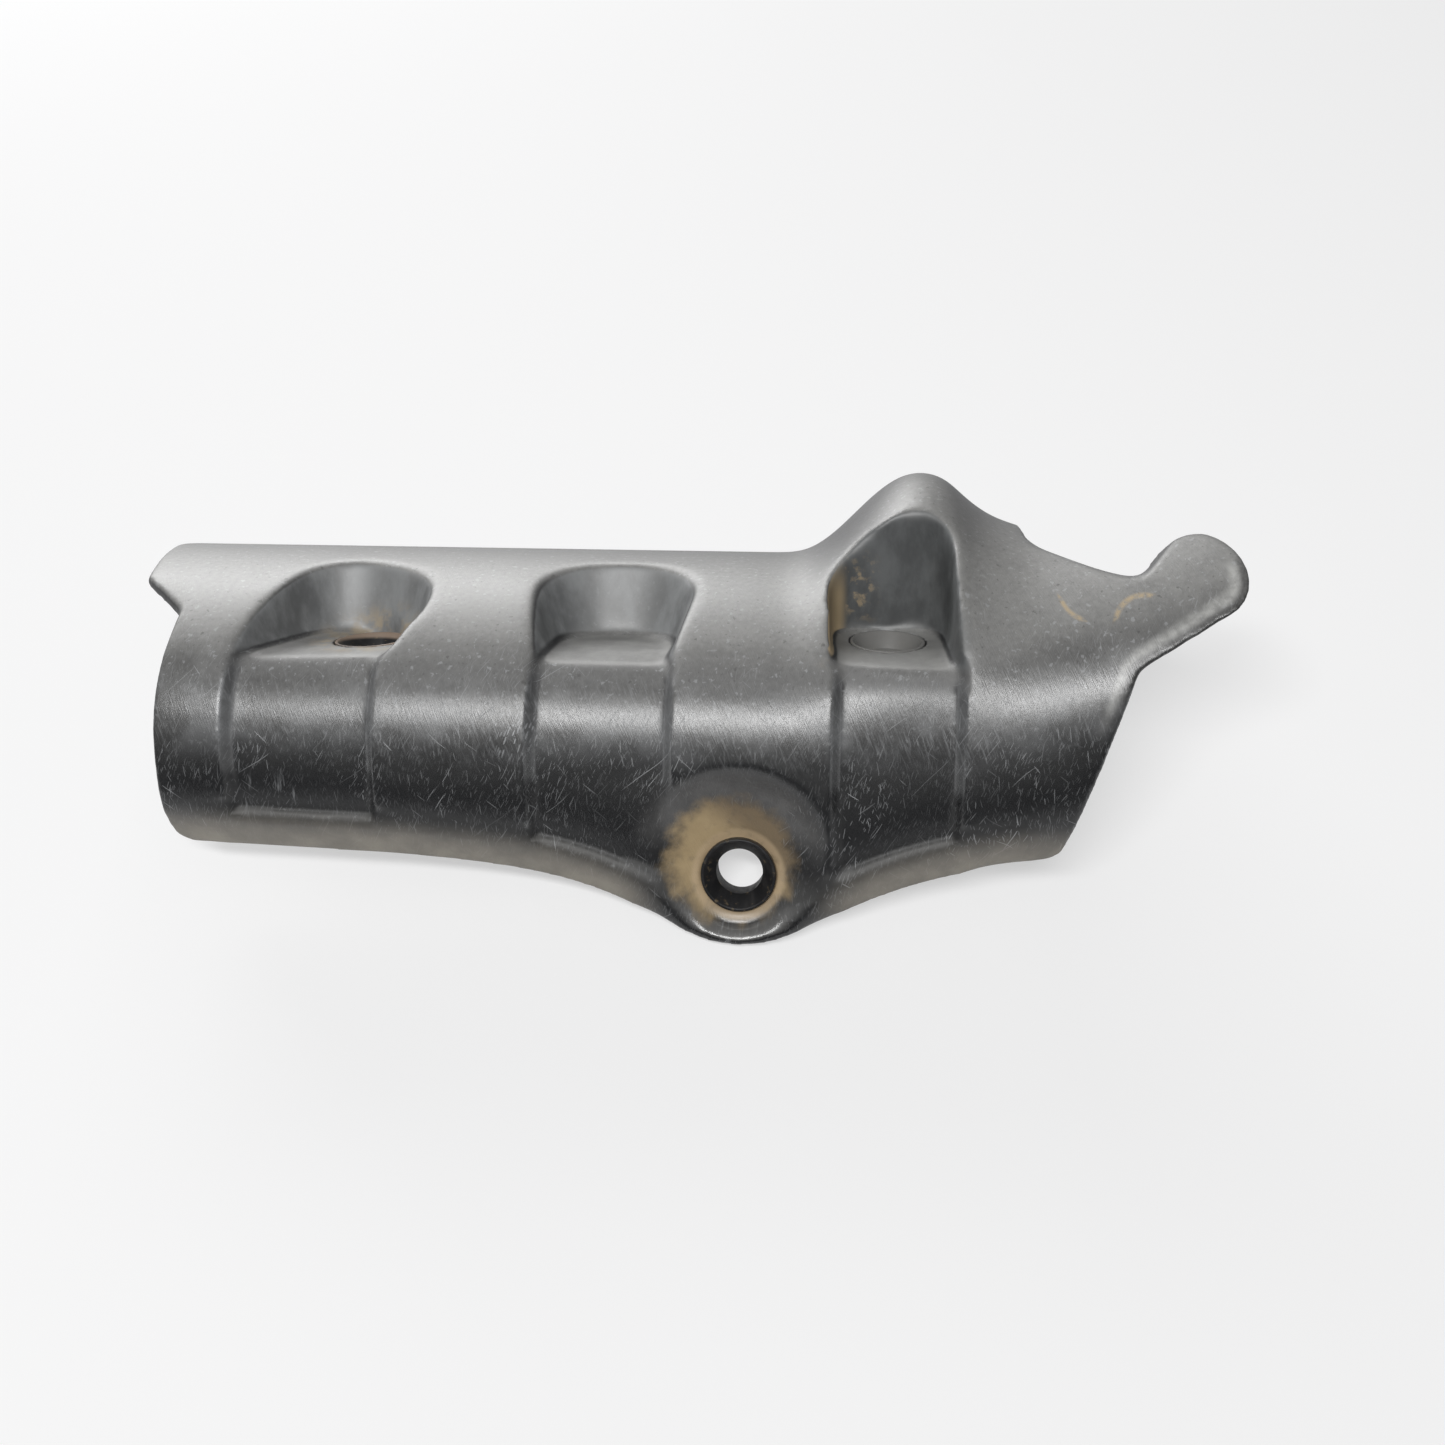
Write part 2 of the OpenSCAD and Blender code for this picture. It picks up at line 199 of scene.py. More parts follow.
# Colours of dirt, wear and dust, and of painted light and shade
DARK_SPECKS = (0.05, 0.048, 0.045, 1)
PAINTED_SHADE = (0.012, 0.012, 0.012, 1)
# A lit and a painted-shade copy of the pale coat on the pockets' walls
LIT_WALL_FILM = (0.29, 0.298, 0.3, 1)
SHADED_WALL = (0.14, 0.147, 0.148, 1)
LIT_GROOVE_SIDE = (0.15, 0.152, 0.153, 1)
POCKET_FLOOR_REFLECTION = (0.27, 0.268, 0.257, 1)
EAR_GRIME = (0.05, 0.05, 0.048, 1)
EAR_SCRAPE = (0.5, 0.5, 0.48, 1)
DISH_BROW_LIGHT = (0.13, 0.128, 0.125, 1)
DISH_DUST = (0.4, 0.29, 0.15, 1)
DISH_SHADE = (0.1, 0.07, 0.042, 1)
SEAT_DUST = (0.6, 0.45, 0.28, 1)
RIM_DUST_AND_REFLECTION = (0.31, 0.285, 0.24, 1)
POCKET_DUST = (0.36, 0.285, 0.18, 1)
WING_DUST = (0.5, 0.38, 0.22, 1)
RUBBER_BLOOM = (0.09, 0.085, 0.08, 1)
RIGHT_BUSH_DUST = (0.22, 0.217, 0.207, 1)
LEFT_BUSH_DUST = (0.33, 0.25, 0.19, 1)

# Lamps, room and camera, in metres. The camera's turn is in degrees and its sensor in millimetres.
LAMP_AIM = (-0.02, 0.03, 0.02)
CEILING_LAMP_SIZE = (0.7, 0.14)
CEILING_LAMP_PLACE = (-0.09, -0.31, 0.93)
BACK_LAMP_SIZE = (1.0, 0.56)
BACK_LAMP_PLACE = (-0.52, 1.05, 0.285)
ROOM = (0.08, 0.08, 0.083, 1)
FLOOR_HALF = 3.0
CAMERA_PLACE = (0.025167, -0.147759, 0.268142)
CAMERA_TURN = (34.9292, 3.7078, 4.5031)
CAMERA_SENSOR = 36
CAMERA_CLIP = 0.01


class ShellSettings(bpy.types.PropertyGroup):
    """Sizes and colours of the moulded shell"""

    voxel: bpy.props.FloatProperty(
        name="Skin voxel",
        description="Size of the voxels that the moulded skin is made from",
        default=0.5 * MM,
        min=0.4 * MM,
        max=2 * MM,
        precision=5,
        unit="LENGTH",
    )
    edge_reach: bpy.props.FloatProperty(
        name="Edge reach",
        description="Distance from a moulded edge over which its shape is kept",
        default=2.8 * MM,
        precision=5,
        unit="LENGTH",
    )
    edge_passes: bpy.props.IntProperty(
        name="Edge rounding",
        description="Smoothing passes that round the moulded edges",
        default=3,
        min=0,
    )
    end_passes: bpy.props.IntProperty(
        name="End rounding",
        description="Smoothing passes that round the wing, the ear and the left end further",
        default=24,
        min=0,
    )
    knife_passes: bpy.props.IntProperty(
        name="Knife edge blunting",
        description="Smoothing passes that blunt the thin edge in the wing's notch",
        default=160,
        min=0,
    )
    face_passes: bpy.props.IntProperty(
        name="Face smoothing",
        description="Smoothing passes on the open faces",
        default=80,
        min=0,
    )
    triangles: bpy.props.IntProperty(
        name="Triangles",
        description="Most triangles that the moulded skin keeps",
        default=190000,
        min=10000,
    )
    plastic: bpy.props.FloatVectorProperty(
        name="Plastic",
        description="Colour of the black plastic",
        subtype="COLOR",
        size=4,
        min=0,
        max=1,
        default=(0.011, 0.0115, 0.0125, 1),
    )
    # Also a painted sheen: this pale colour lightens the faces turned to the sky where the light falls on
    # them
    faded_and_sheen: bpy.props.FloatVectorProperty(
        name="Faded plastic",
        description="Colour of the plastic where light and weather have bleached it",
        subtype="COLOR",
        size=4,
        min=0,
        max=1,
        default=(0.265, 0.263, 0.254, 1),
    )
    # Also the colour of a painted highlight along the bulge
    scuffed: bpy.props.FloatVectorProperty(
        name="Scuffs",
        description="Colour of scuffs and scratches",
        subtype="COLOR",
        size=4,
        min=0,
        max=1,
        default=(0.42, 0.43, 0.44, 1),
    )
    dust: bpy.props.FloatVectorProperty(
        name="Dust",
        description="Colour of dried dust",
        subtype="COLOR",
        size=4,
        min=0,
        max=1,
        default=(0.5, 0.375, 0.205, 1),
    )


class BushSettings(bpy.types.PropertyGroup):
    """Sizes and colours of the flanged bushes"""

    wall: bpy.props.FloatProperty(
        name="Shank wall",
        description="Wall of a bush's shank",
        default=1.4 * MM,
        precision=5,
        unit="LENGTH",
    )
    flange_radius: bpy.props.FloatProperty(
        name="Flange radius",
        description="Radius of a bush's flange",
        default=8 * MM,
        precision=5,
        unit="LENGTH",
    )
    flange_height: bpy.props.FloatProperty(
        name="Flange height",
        description="Height of a bush's flange",
        default=2 * MM,
        precision=5,
        unit="LENGTH",
    )
    sink: bpy.props.FloatProperty(
        name="Mouth depth",
        description="Depth of the hollow round the mouth of the bore",
        default=3.2 * MM,
        precision=5,
        unit="LENGTH",
    )
    rim: bpy.props.FloatProperty(
        name="Rim",
        description="Width of the flat rim round that hollow",
        default=0.6 * MM,
        precision=5,
        unit="LENGTH",
    )
    edge_radius: bpy.props.FloatProperty(
        name="Edge radius",
        description="Radius of a bush's moulded edges",
        default=0.25 * MM,
        precision=5,
        unit="LENGTH",
    )
    rubber: bpy.props.FloatVectorProperty(
        name="Rubber",
        description="Colour of the rubber",
        subtype="COLOR",
        size=4,
        min=0,
        max=1,
        default=(0.012, 0.012, 0.013, 1),
    )


class StageSettings(bpy.types.PropertyGroup):
    """Floor, lamps and camera"""

    floor: bpy.props.FloatVectorProperty(
        name="Floor",
        description="Colour of the floor",
        subtype="COLOR",
        size=4,
        min=0,
        max=1,
        default=(0.93, 0.93, 0.933, 1),
    )
    ceiling_power: bpy.props.FloatProperty(
        name="Ceiling lamp",
        description="Power of the long lamp overhead",
        default=6.8,
        unit="POWER",
    )
    wall_power: bpy.props.FloatProperty(
        name="Back lamp",
        description="Power of the broad lamp behind the guard",
        default=12.5,
        unit="POWER",
    )
    lens: bpy.props.FloatProperty(
        name="Lens",
        description="Focal length of the camera",
        default=35.32,
        unit="CAMERA",
    )


def put(tree, kind, sockets=None, **settings):
    """Adds a node, with values or links for its sockets by name or place."""
    node = tree.nodes.new(kind)
    for name, value in settings.items():
        setattr(node, name, value)
    for key, value in (sockets or {}).items():
        socket = node.inputs[key]
        if isinstance(value, bpy.types.NodeSocket):
            tree.links.new(value, socket)
        else:
            socket.default_value = value
    return node


def calc(tree, operation, *terms):
    """A Math node on one to three values or sockets."""
    return put(tree, "ShaderNodeMath", dict(enumerate(terms)), operation=operation).outputs[0]


def times(tree, *masks):
    """The product of several masks."""
    result = masks[0]
    for mask in masks[1:]:
        result = calc(tree, "MULTIPLY", result, mask)
    return result


def most(tree, *masks):
    """The greatest of several masks."""
    result = masks[0]
    for mask in masks[1:]:
        result = calc(tree, "MAXIMUM", result, mask)
    return result


def ramp(tree, mask, span, base):
    """A mask times a span, on top of a base."""
    return calc(tree, "MULTIPLY_ADD", mask, span, base)


def rest(tree, mask):
    """What a mask leaves of 1."""
    return calc(tree, "SUBTRACT", 1.0, mask)


def fade(tree, value, low, high):
    """A smooth step from 0 at low to 1 at high."""
    sockets = {"Value": value, "From Min": low, "From Max": high}
    return put(tree, "ShaderNodeMapRange", sockets, interpolation_type="SMOOTHSTEP").outputs["Result"]


def band(tree, value, low, high, soft):
    """A mask of 1 between low and high, faded at both ends."""
    rising = fade(tree, value, low - soft, low + soft)
    falling = fade(tree, value, high + soft, high - soft)
    return times(tree, rising, falling)


def blend(tree, share, below, above):
    """A colour mix."""
    sockets = {0: share, 6: below, 7: above}
    return put(tree, "ShaderNodeMix", sockets, data_type="RGBA").outputs[2]


def coat(tree, colour, paint, *masks):
    """A paint over a colour, as strong as the product of its masks."""
    return blend(tree, times(tree, *masks), colour, paint)


def noise(tree, place, scale, detail=4.0, roughness=0.55):
    """The value of a noise texture."""
    sockets = {"Vector": place, "Scale": scale, "Detail": detail, "Roughness": roughness}
    return put(tree, "ShaderNodeTexNoise", sockets).outputs["Fac"]


def split(tree, vector):
    """The three parts of a vector."""
    return put(tree, "ShaderNodeSeparateXYZ", {0: vector}).outputs


def join(tree, x, y, z=0.0):
    """A vector from its three parts."""
    return put(tree, "ShaderNodeCombineXYZ", {"X": x, "Y": y, "Z": z}).outputs[0]


def vector_calc(tree, operation, *terms):
    """A Vector Math node on one or two vectors."""
    return put(tree, "ShaderNodeVectorMath", dict(enumerate(terms)), operation=operation).outputs


def far(tree, place, point):
    """Distance of a place from a point."""
    return vector_calc(tree, "DISTANCE", place, point)["Value"]


def combed(tree, place, turn, length, width):
    """A place turned by some degrees and drawn out into streaks."""
    mapping = put(tree, "ShaderNodeMapping", {"Vector": place}, vector_type="TEXTURE")
    mapping.inputs["Rotation"].default_value = (0, 0, math.radians(turn))
    mapping.inputs["Scale"].default_value = (length, width, 1)
    return mapping.outputs[0]


def attribute(tree, name):
    """A mask that the piece carries on its points."""
    return put(tree, "ShaderNodeAttribute", attribute_name=name).outputs["Fac"]


def new_group(name, inputs, outputs):
    """An empty shader node group with named sockets."""
    group = bpy.data.node_groups.new(name, "ShaderNodeTree")
    for label, kind, value in inputs:
        socket = group.interface.new_socket(label, in_out="INPUT", socket_type=kind)
        if value is not None:
            socket.default_value = value
    for label, kind in outputs:
        group.interface.new_socket(label, in_out="OUTPUT", socket_type=kind)
    start = group.nodes.new("NodeGroupInput").outputs
    end = group.nodes.new("NodeGroupOutput").inputs
    return group, start, end


def fitted_place_group(name):
    """Millimetres in the way the guard is fitted: along it, to its back, up it and round its front."""
    outputs = [(label, "NodeSocketFloat") for label in ("Along", "Back", "Up")]
    outputs.append(("Wrap", "NodeSocketVector"))
    group, start, end = new_group(name, [("Place", "NodeSocketVector", None)], outputs)
    turned = put(group, "ShaderNodeMapping", {"Vector": start["Place"]})
    turned.inputs["Scale"].default_value = (1 / MM, 1 / MM, 1 / MM)
    turned.inputs["Rotation"].default_value = (LEAN, 0, 0)
    turned.inputs["Location"].default_value = (0, SEAT_TO_BORE / MM, 0)
    along, back, up = split(group, turned.outputs[0])

    # The front is unrolled round an axis inside the half-pipe
    axis_back, axis_up, radius = 48.0, 18.0, 52.0
    rise = calc(group, "SUBTRACT", up, axis_up)
    reach = calc(group, "SUBTRACT", axis_back, back)
    wrap = join(group, along, times(group, calc(group, "ARCTAN2", rise, reach), radius))
    for label, socket in (("Along", along), ("Back", back), ("Up", up), ("Wrap", wrap)):
        group.links.new(socket, end[label])
    return group


def strokes_group(name):
    """Short thin scratches, all near one direction, which bow a little."""
    group, start, end = new_group(
        name,
        [
            ("Wrap", "NodeSocketVector", None),
            ("Turn", "NodeSocketFloat", 0.0),
            ("Length", "NodeSocketFloat", 6.0),
            ("Spacing", "NodeSocketFloat", 1.2),
            ("Width", "NodeSocketFloat", 0.2),
            ("Share", "NodeSocketFloat", 0.5),
        ],
        [("Mask", "NodeSocketFloat")],
    )
    most_bow = 6.4
    sway = calc(group, "SUBTRACT", noise(group, start["Wrap"], scale=0.05, detail=1.0), 0.5)
    sockets = {"Vector": start["Wrap"], "Angle": start["Turn"]}
    spun = put(group, "ShaderNodeVectorRotate", sockets, rotation_type="Z_AXIS")
    across, over, _ = split(group, spun.outputs[0])
    bowed = ramp(group, sway, span=most_bow, base=over)
    cell = join(
        group,
        calc(group, "DIVIDE", across, start["Length"]),
        calc(group, "DIVIDE", bowed, start["Spacing"]),
    )

    # One scratch runs through each cell's point, thin at both ends
    points = put(group, "ShaderNodeTexVoronoi", {"Vector": cell, "Scale": 1.0}, voronoi_dimensions="2D")
    away = vector_calc(group, "SUBTRACT", cell, points.outputs["Position"])[0]
    lengthways, sideways, _ = split(group, away)
    chance, depth, size = put(group, "ShaderNodeSeparateColor", {0: points.outputs["Color"]}).outputs
    reach = ramp(group, size, span=0.3, base=0.12)
    run = calc(group, "DIVIDE", calc(group, "ABSOLUTE", lengthways), reach)
    taper = calc(group, "MAXIMUM", rest(group, times(group, run, run)), 0.0)
    off = times(group, calc(group, "ABSOLUTE", sideways), start["Spacing"])
    half = times(group, start["Width"], 0.5, calc(group, "SQRT", taper))
    line = calc(group, "LESS_THAN", off, half)
    kept = calc(group, "LESS_THAN", chance, start["Share"])
    strength = ramp(group, depth, span=0.75, base=0.25)
    group.links.new(times(group, line, kept, strength), end["Mask"])
    return group


def cloud_group(name):
    """A patchy mask that fades between two levels of a noise."""
    group, start, end = new_group(
        name,
        [
            ("Place", "NodeSocketVector", None),
            ("Scale", "NodeSocketFloat", 0.1),
            ("Detail", "NodeSocketFloat", 5.0),
            ("Bare", "NodeSocketFloat", 0.4),
            ("Full", "NodeSocketFloat", 0.65),
        ],
        [("Mask", "NodeSocketFloat")],
    )
    value = noise(group, start["Place"], start["Scale"], start["Detail"], roughness=0.6)
    group.links.new(fade(group, value, start["Bare"], start["Full"]), end["Mask"])
    return group


GROUPS = {
    "Fitted place": fitted_place_group,
    "Scratch strokes": strokes_group,
    "Patchy cover": cloud_group,
}


def use(tree, name, sockets):
    """Places a shared node group in a tree, made when it is first asked for."""
    group = bpy.data.node_groups.get(name) or GROUPS[name](name)
    return put(tree, "ShaderNodeGroup", sockets, node_tree=group).outputs


def cloud(tree, place, scale, bare, full, detail=5.0):
    """A patchy mask over a place."""
    sockets = {"Place": place, "Scale": scale, "Bare": bare, "Full": full, "Detail": detail}
    return use(tree, "Patchy cover", sockets)["Mask"]


def new_material(name):
    """An empty material with its surface shader."""
    material = bpy.data.materials.new(name)
    material.use_nodes = True
    tree = material.node_tree
    tree.nodes.clear()
    shader = tree.nodes.new("ShaderNodeBsdfPrincipled")
    out = tree.nodes.new("ShaderNodeOutputMaterial")
    tree.links.new(shader.outputs[0], out.inputs["Surface"])
    return material, tree, shader


class ShellSurface:
    """What the layers of the shell's finish read: places, the way a face looks and masks of zones"""

    def __init__(self, tree):
        self.tree = tree
        self.place = put(tree, "ShaderNodeTexCoord").outputs["Object"]
        fitted = use(tree, "Fitted place", {"Place": self.place})
        self.along = fitted["Along"]
        self.back = fitted["Back"]
        self.up = fitted["Up"]
        self.wrap = fitted["Wrap"]
        self.seen_from_front = join(tree, self.along, self.up)
        self.from_lug = vector_calc(tree, "LENGTH", self.seen_from_front)["Value"]
        self.normal = split(tree, put(tree, "ShaderNodeNewGeometry").outputs["Normal"])
        self.skyward = fade(tree, self.normal[2], *SKYWARD_FADE)
        self.worn = attribute(tree, "worn")
        self.rim = attribute(tree, "rim")
        self.ledge = attribute(tree, "ledge")
        self.border = attribute(tree, "border")
        self.cornered = times(tree, attribute(tree, "nook"), fade(tree, self.up, *GROOVE_CORNERS_UP_FADE))
        self.mottle = noise(tree, self.wrap, scale=0.11, detail=6.0, roughness=0.6)
        self.streaky = cloud(tree, self.wrap, scale=0.3, bare=0.18, full=0.5, detail=6.0)

        # The pockets' walls and floors, by the way that they face in the fitted guard
        upness = ramp(tree, self.normal[1], math.sin(LEAN), times(tree, self.normal[2], math.cos(LEAN)))
        self.inset = times(
            tree,
            fade(tree, self.back, *POCKETS_BACK_FADE),
            fade(tree, self.along, *POCKETS_RIGHT_FADE),
            fade(tree, self.along, *POCKETS_LEFT_FADE),
        )
        steep = fade(tree, upness, *WALLS_FACING_FADE)
        self.walls = times(tree, self.inset, fade(tree, self.up, *WALLS_UP_FADE), steep)
        flat = fade(tree, upness, *FLOORS_FACING_FADE)
        self.floors = times(tree, self.inset, band(tree, self.up, *FLOORS_UP_BAND), flat)
        self.open_face = rest(tree, most(tree, self.walls, self.floors))

        # Height on the front, less what the wing climbs
        past_start = calc(tree, "MAXIMUM", calc(tree, "SUBTRACT", self.along, WING_START), 0.0)
        self.level = calc(tree, "SUBTRACT", self.up, times(tree, past_start, WING_CLIMB))
        self.crown = fade(tree, self.level, *CROWN_FADE)


def strokes(on, turn, length, spacing, width, share):
    """A mask of scratches that run one way."""
    sockets = {
        "Wrap": on.wrap,
        "Turn": math.radians(turn),
        "Length": length,
        "Spacing": spacing,
        "Width": width,
        "Share": share,
    }
    return use(on.tree, "Scratch strokes", sockets)["Mask"]


def smear(on, middle, radius, aim, spread):
    """A curved smear round a point, on the side that it aims at."""
    tree = on.tree
    half_width, soft, end_soft = 0.4, 0.35, 0.05
    away = vector_calc(tree, "SUBTRACT", on.seen_from_front, middle)[0]
    distance = vector_calc(tree, "LENGTH", away)["Value"]
    side = (math.cos(math.radians(aim)), math.sin(math.radians(aim)), 0)
    facing = vector_calc(tree, "DOT_PRODUCT", away, side)["Value"]
    window = fade(tree, calc(tree, "DIVIDE", facing, radius), spread - end_soft, spread + end_soft)
    return times(tree, band(tree, distance, radius - half_width, radius + half_width, soft), window)


def bleached_and_sheened_plastic(on, settings):
    """Black plastic, bleached, speckled and given a painted sheen where it faces the sky, most on its
    crown, with painted shade in its inner corners.
    """
    tree = on.tree
    grain = noise(tree, on.wrap, scale=0.8, detail=4.0, roughness=0.65)
    # The pale coat is partly real fading and partly a painted sheen where light falls on the upward faces
    # and the crown; inner corners keep less of it as painted shade
    bleach_and_sheen = times(
        tree,
        on.skyward,
        ramp(tree, on.mottle, span=0.5, base=0.7),
        ramp(tree, on.cornered, span=-0.8, base=1.0),
        ramp(tree, on.crown, span=0.43, base=0.57),
        ramp(tree, grain, span=0.7, base=0.65),
    )
    colour = coat(tree, tuple(settings.plastic), tuple(settings.faded_and_sheen), bleach_and_sheen)
    specks = noise(tree, on.wrap, scale=0.75, detail=2.0)
    pale = fade(tree, specks, 0.61, 0.7)
    dark = fade(tree, specks, 0.36, 0.27)
    colour = coat(tree, colour, tuple(settings.scuffed), on.skyward, pale, 0.45)
    return coat(tree, colour, DARK_SPECKS, on.skyward, dark, 0.5)


def painted_shade_and_light(on, colour):
    """Painted shade in the inner corners and at the feet of the grooves, a pale dusty coat on the pockets'
    walls painted lit in the left and middle pockets and painted shaded in the right one, painted light on
    the grooves' sides and a painted reflection on the pockets' floors.
    """
    tree = on.tree
    # Painted shade darkens the inner corners and the feet of the grooves
    painted_shade = most(tree, times(tree, on.cornered, 0.3), times(tree, on.ledge, 0.5))
    colour = coat(tree, colour, PAINTED_SHADE, painted_shade)

    # Streaks run down a pale dusty coat on the pockets' walls, painted lit in the left and middle pockets
    # and painted shaded in the right one
    sideways, downwards = 0.16, 0.07
    fall = join(
        tree,
        times(tree, on.along, sideways),
        times(tree, on.up, downwards),
        times(tree, on.back, sideways),
    )
    streaks = ramp(tree, cloud(tree, fall, scale=1.0, bare=0.35, full=0.7), span=0.5, base=0.45)
    wall_light_and_shade = blend(tree, fade(tree, on.along, *RIGHT_POCKET_ALONG_FADE), LIT_WALL_FILM, SHADED_WALL)
    colour = coat(tree, colour, wall_light_and_shade, on.walls, streaks)

    # Painted light lifts the grooves' sides, which turn away from the lamps
    lit_groove_sides = times(
        tree,
        on.inset,
        band(tree, on.up, *GROOVES_UP_BAND),
        fade(tree, calc(tree, "ABSOLUTE", on.normal[0]), *SIDEWAYS_FADE),
    )
    colour = coat(tree, colour, LIT_GROOVE_SIDE, lit_groove_sides, ramp(tree, on.mottle, span=0.4, base=0.45))
    # A pale coat on the pockets' floors is a painted reflection of the light from above
    overlay = ramp(tree, cloud(tree, on.wrap, scale=0.15, bare=0.35, full=0.7), span=0.4, base=0.5)
    return coat(tree, colour, POCKET_FLOOR_REFLECTION, on.floors, overlay)


def scuffs_and_highlight_on_bulge(on, settings, colour):
    """Hazy scuffs along the bulge, which also paint a highlight where the ceiling lamp's reflection runs.
    """
    tree = on.tree
    streaks = combed(tree, on.wrap, turn=112, length=5.0, width=0.7)
    combs = cloud(tree, streaks, scale=1.0, bare=0.46, full=0.76, detail=6.0)
    patches = cloud(tree, on.wrap, scale=0.055, bare=0.42, full=0.62)
    haze_and_highlight = most(tree, combs, times(tree, patches, 0.5))
    # The scuffs also stand in for the lamp's highlight: a painted highlight along the bulge
    bulge = band(tree, on.level, *BULGE_BAND)
    return coat(tree, colour, tuple(settings.scuffed), bulge, on.open_face, haze_and_highlight, 0.48)


def scratched(on):
    """A mask of scratches, thickest on the front and none in the pockets."""
    tree = on.tree
    fine = most(tree, *(strokes(on, *row) for row in FINE_SCRATCHES))
    deep = most(tree, *(strokes(on, *row) for row in DEEP_SCRATCHES))
    rubbed = cloud(tree, on.wrap, scale=0.06, bare=0.42, full=0.66)
    front = fade(tree, on.normal[1], *FRONT_FADE)
    return times(
        tree,
        most(tree, times(tree, fine, 0.55), deep),
        on.open_face,
        ramp(tree, rubbed, span=0.75, base=0.25),
        ramp(tree, front, span=0.75, base=0.25),
    )


def chafed_edges(on, settings, colour):
    """A dark line and a pale scrape under the ear, and pale chafed spots on the other edges."""
    tree = on.tree
    ear = times(
        tree,
        fade(tree, ramp(tree, on.along, -EAR_LINE_CLIMB, on.up), *EAR_LINE_FADE),
        fade(tree, on.along, *EAR_ALONG_FADE),
        fade(tree, on.up, *EAR_UP_FADE),
    )
    speckled = cloud(tree, on.wrap, scale=0.6, bare=0.35, full=0.6)
    line = times(tree, fade(tree, on.border, *EAR_GRIME_FADE), ramp(tree, speckled, span=-0.5, base=1.0))
    colour = coat(tree, colour, EAR_GRIME, ear, line, 0.8)
    scrape = times(tree, band(tree, on.border, *EAR_SCRAPE_BAND), ramp(tree, speckled, span=0.4, base=0.5))
    colour = coat(tree, colour, EAR_SCRAPE, ear, scrape)

    left_end = times(
        tree,
        band(tree, on.along, *LEFT_END_ALONG_BAND),
        band(tree, on.up, *LEFT_END_UP_BAND),
        cloud(tree, on.wrap, scale=0.4, bare=0.35, full=0.55),
    )
    spots = most(tree, cloud(tree, on.wrap, scale=0.2, bare=0.56, full=0.72), left_end)
    return coat(tree, colour, tuple(settings.scuffed), on.worn, spots, 0.55)


def knocked(on, settings, colour):
    """A gouge beside the middle groove and drip marks in the left one."""
    tree = on.tree
    near_gouge = fade(tree, far(tree, on.seen_from_front, GOUGE), *GOUGE_FADE)
    gouge = times(tree, near_gouge, strokes(on, *GOUGE_SCRATCHES))
    sideways, downwards = 0.45, 0.07
    runs = join(tree, times(tree, on.along, sideways), times(tree, on.up, downwards))
    drips = times(
        tree,
        band(tree, on.along, *DRIPS_ALONG_BAND),
        band(tree, on.up, *DRIPS_UP_BAND),
        cloud(tree, runs, scale=1.0, bare=0.58, full=0.68, detail=3.0),
        0.4,
    )
    return coat(tree, colour, tuple(settings.scuffed), most(tree, gouge, drips))


def dusty_dish(on, settings, colour):
    """Dust in the dish, wiped off in patches, painted shaded towards its upper right and palest on the
    lug's seat, with painted light on its upper slope: colour and mask.
    """
    tree = on.tree
    from_dust = far(tree, on.seen_from_front, DISH_DUST_MIDDLE)
    # Painted light: a grey band lifts the dark crease on the dish's upper slope
    brow = times(tree, band(tree, from_dust, *BROW_BAND), fade(tree, on.up, *BROW_UP_FADE))
    patchy = cloud(tree, on.wrap, scale=0.15, bare=0.3, full=0.7)
    colour = coat(tree, colour, DISH_BROW_LIGHT, brow, ramp(tree, patchy, span=0.35, base=0.35))

    fray = 8.0
    frayed = calc(tree, "SUBTRACT", noise(tree, on.wrap, scale=0.22), 0.5)
    ragged = fade(tree, ramp(tree, frayed, fray, from_dust), *DISH_DUST_FADE)
    seat = band(tree, on.from_lug, *SEAT_BAND)
    dust = times(
        tree,
        most(tree, ragged, times(tree, seat, 0.75)),
        fade(tree, on.back, *DISH_BACK_FADE),
        ramp(tree, on.streaky, span=0.4, base=0.58),
    )
    tint = blend(tree, noise(tree, on.wrap, scale=0.4, detail=5.0), DISH_DUST, tuple(settings.dust))
    # Painted shade darkens the dust towards the dish's upper right
    shaded = fade(tree, calc(tree, "ADD", on.along, on.up), *DISH_SHADE_FADE)
    tint = coat(tree, tint, DISH_SHADE, shaded, 0.7)
    tint = coat(tree, tint, SEAT_DUST, seat, 0.6)
    return coat(tree, colour, tint, dust), dust


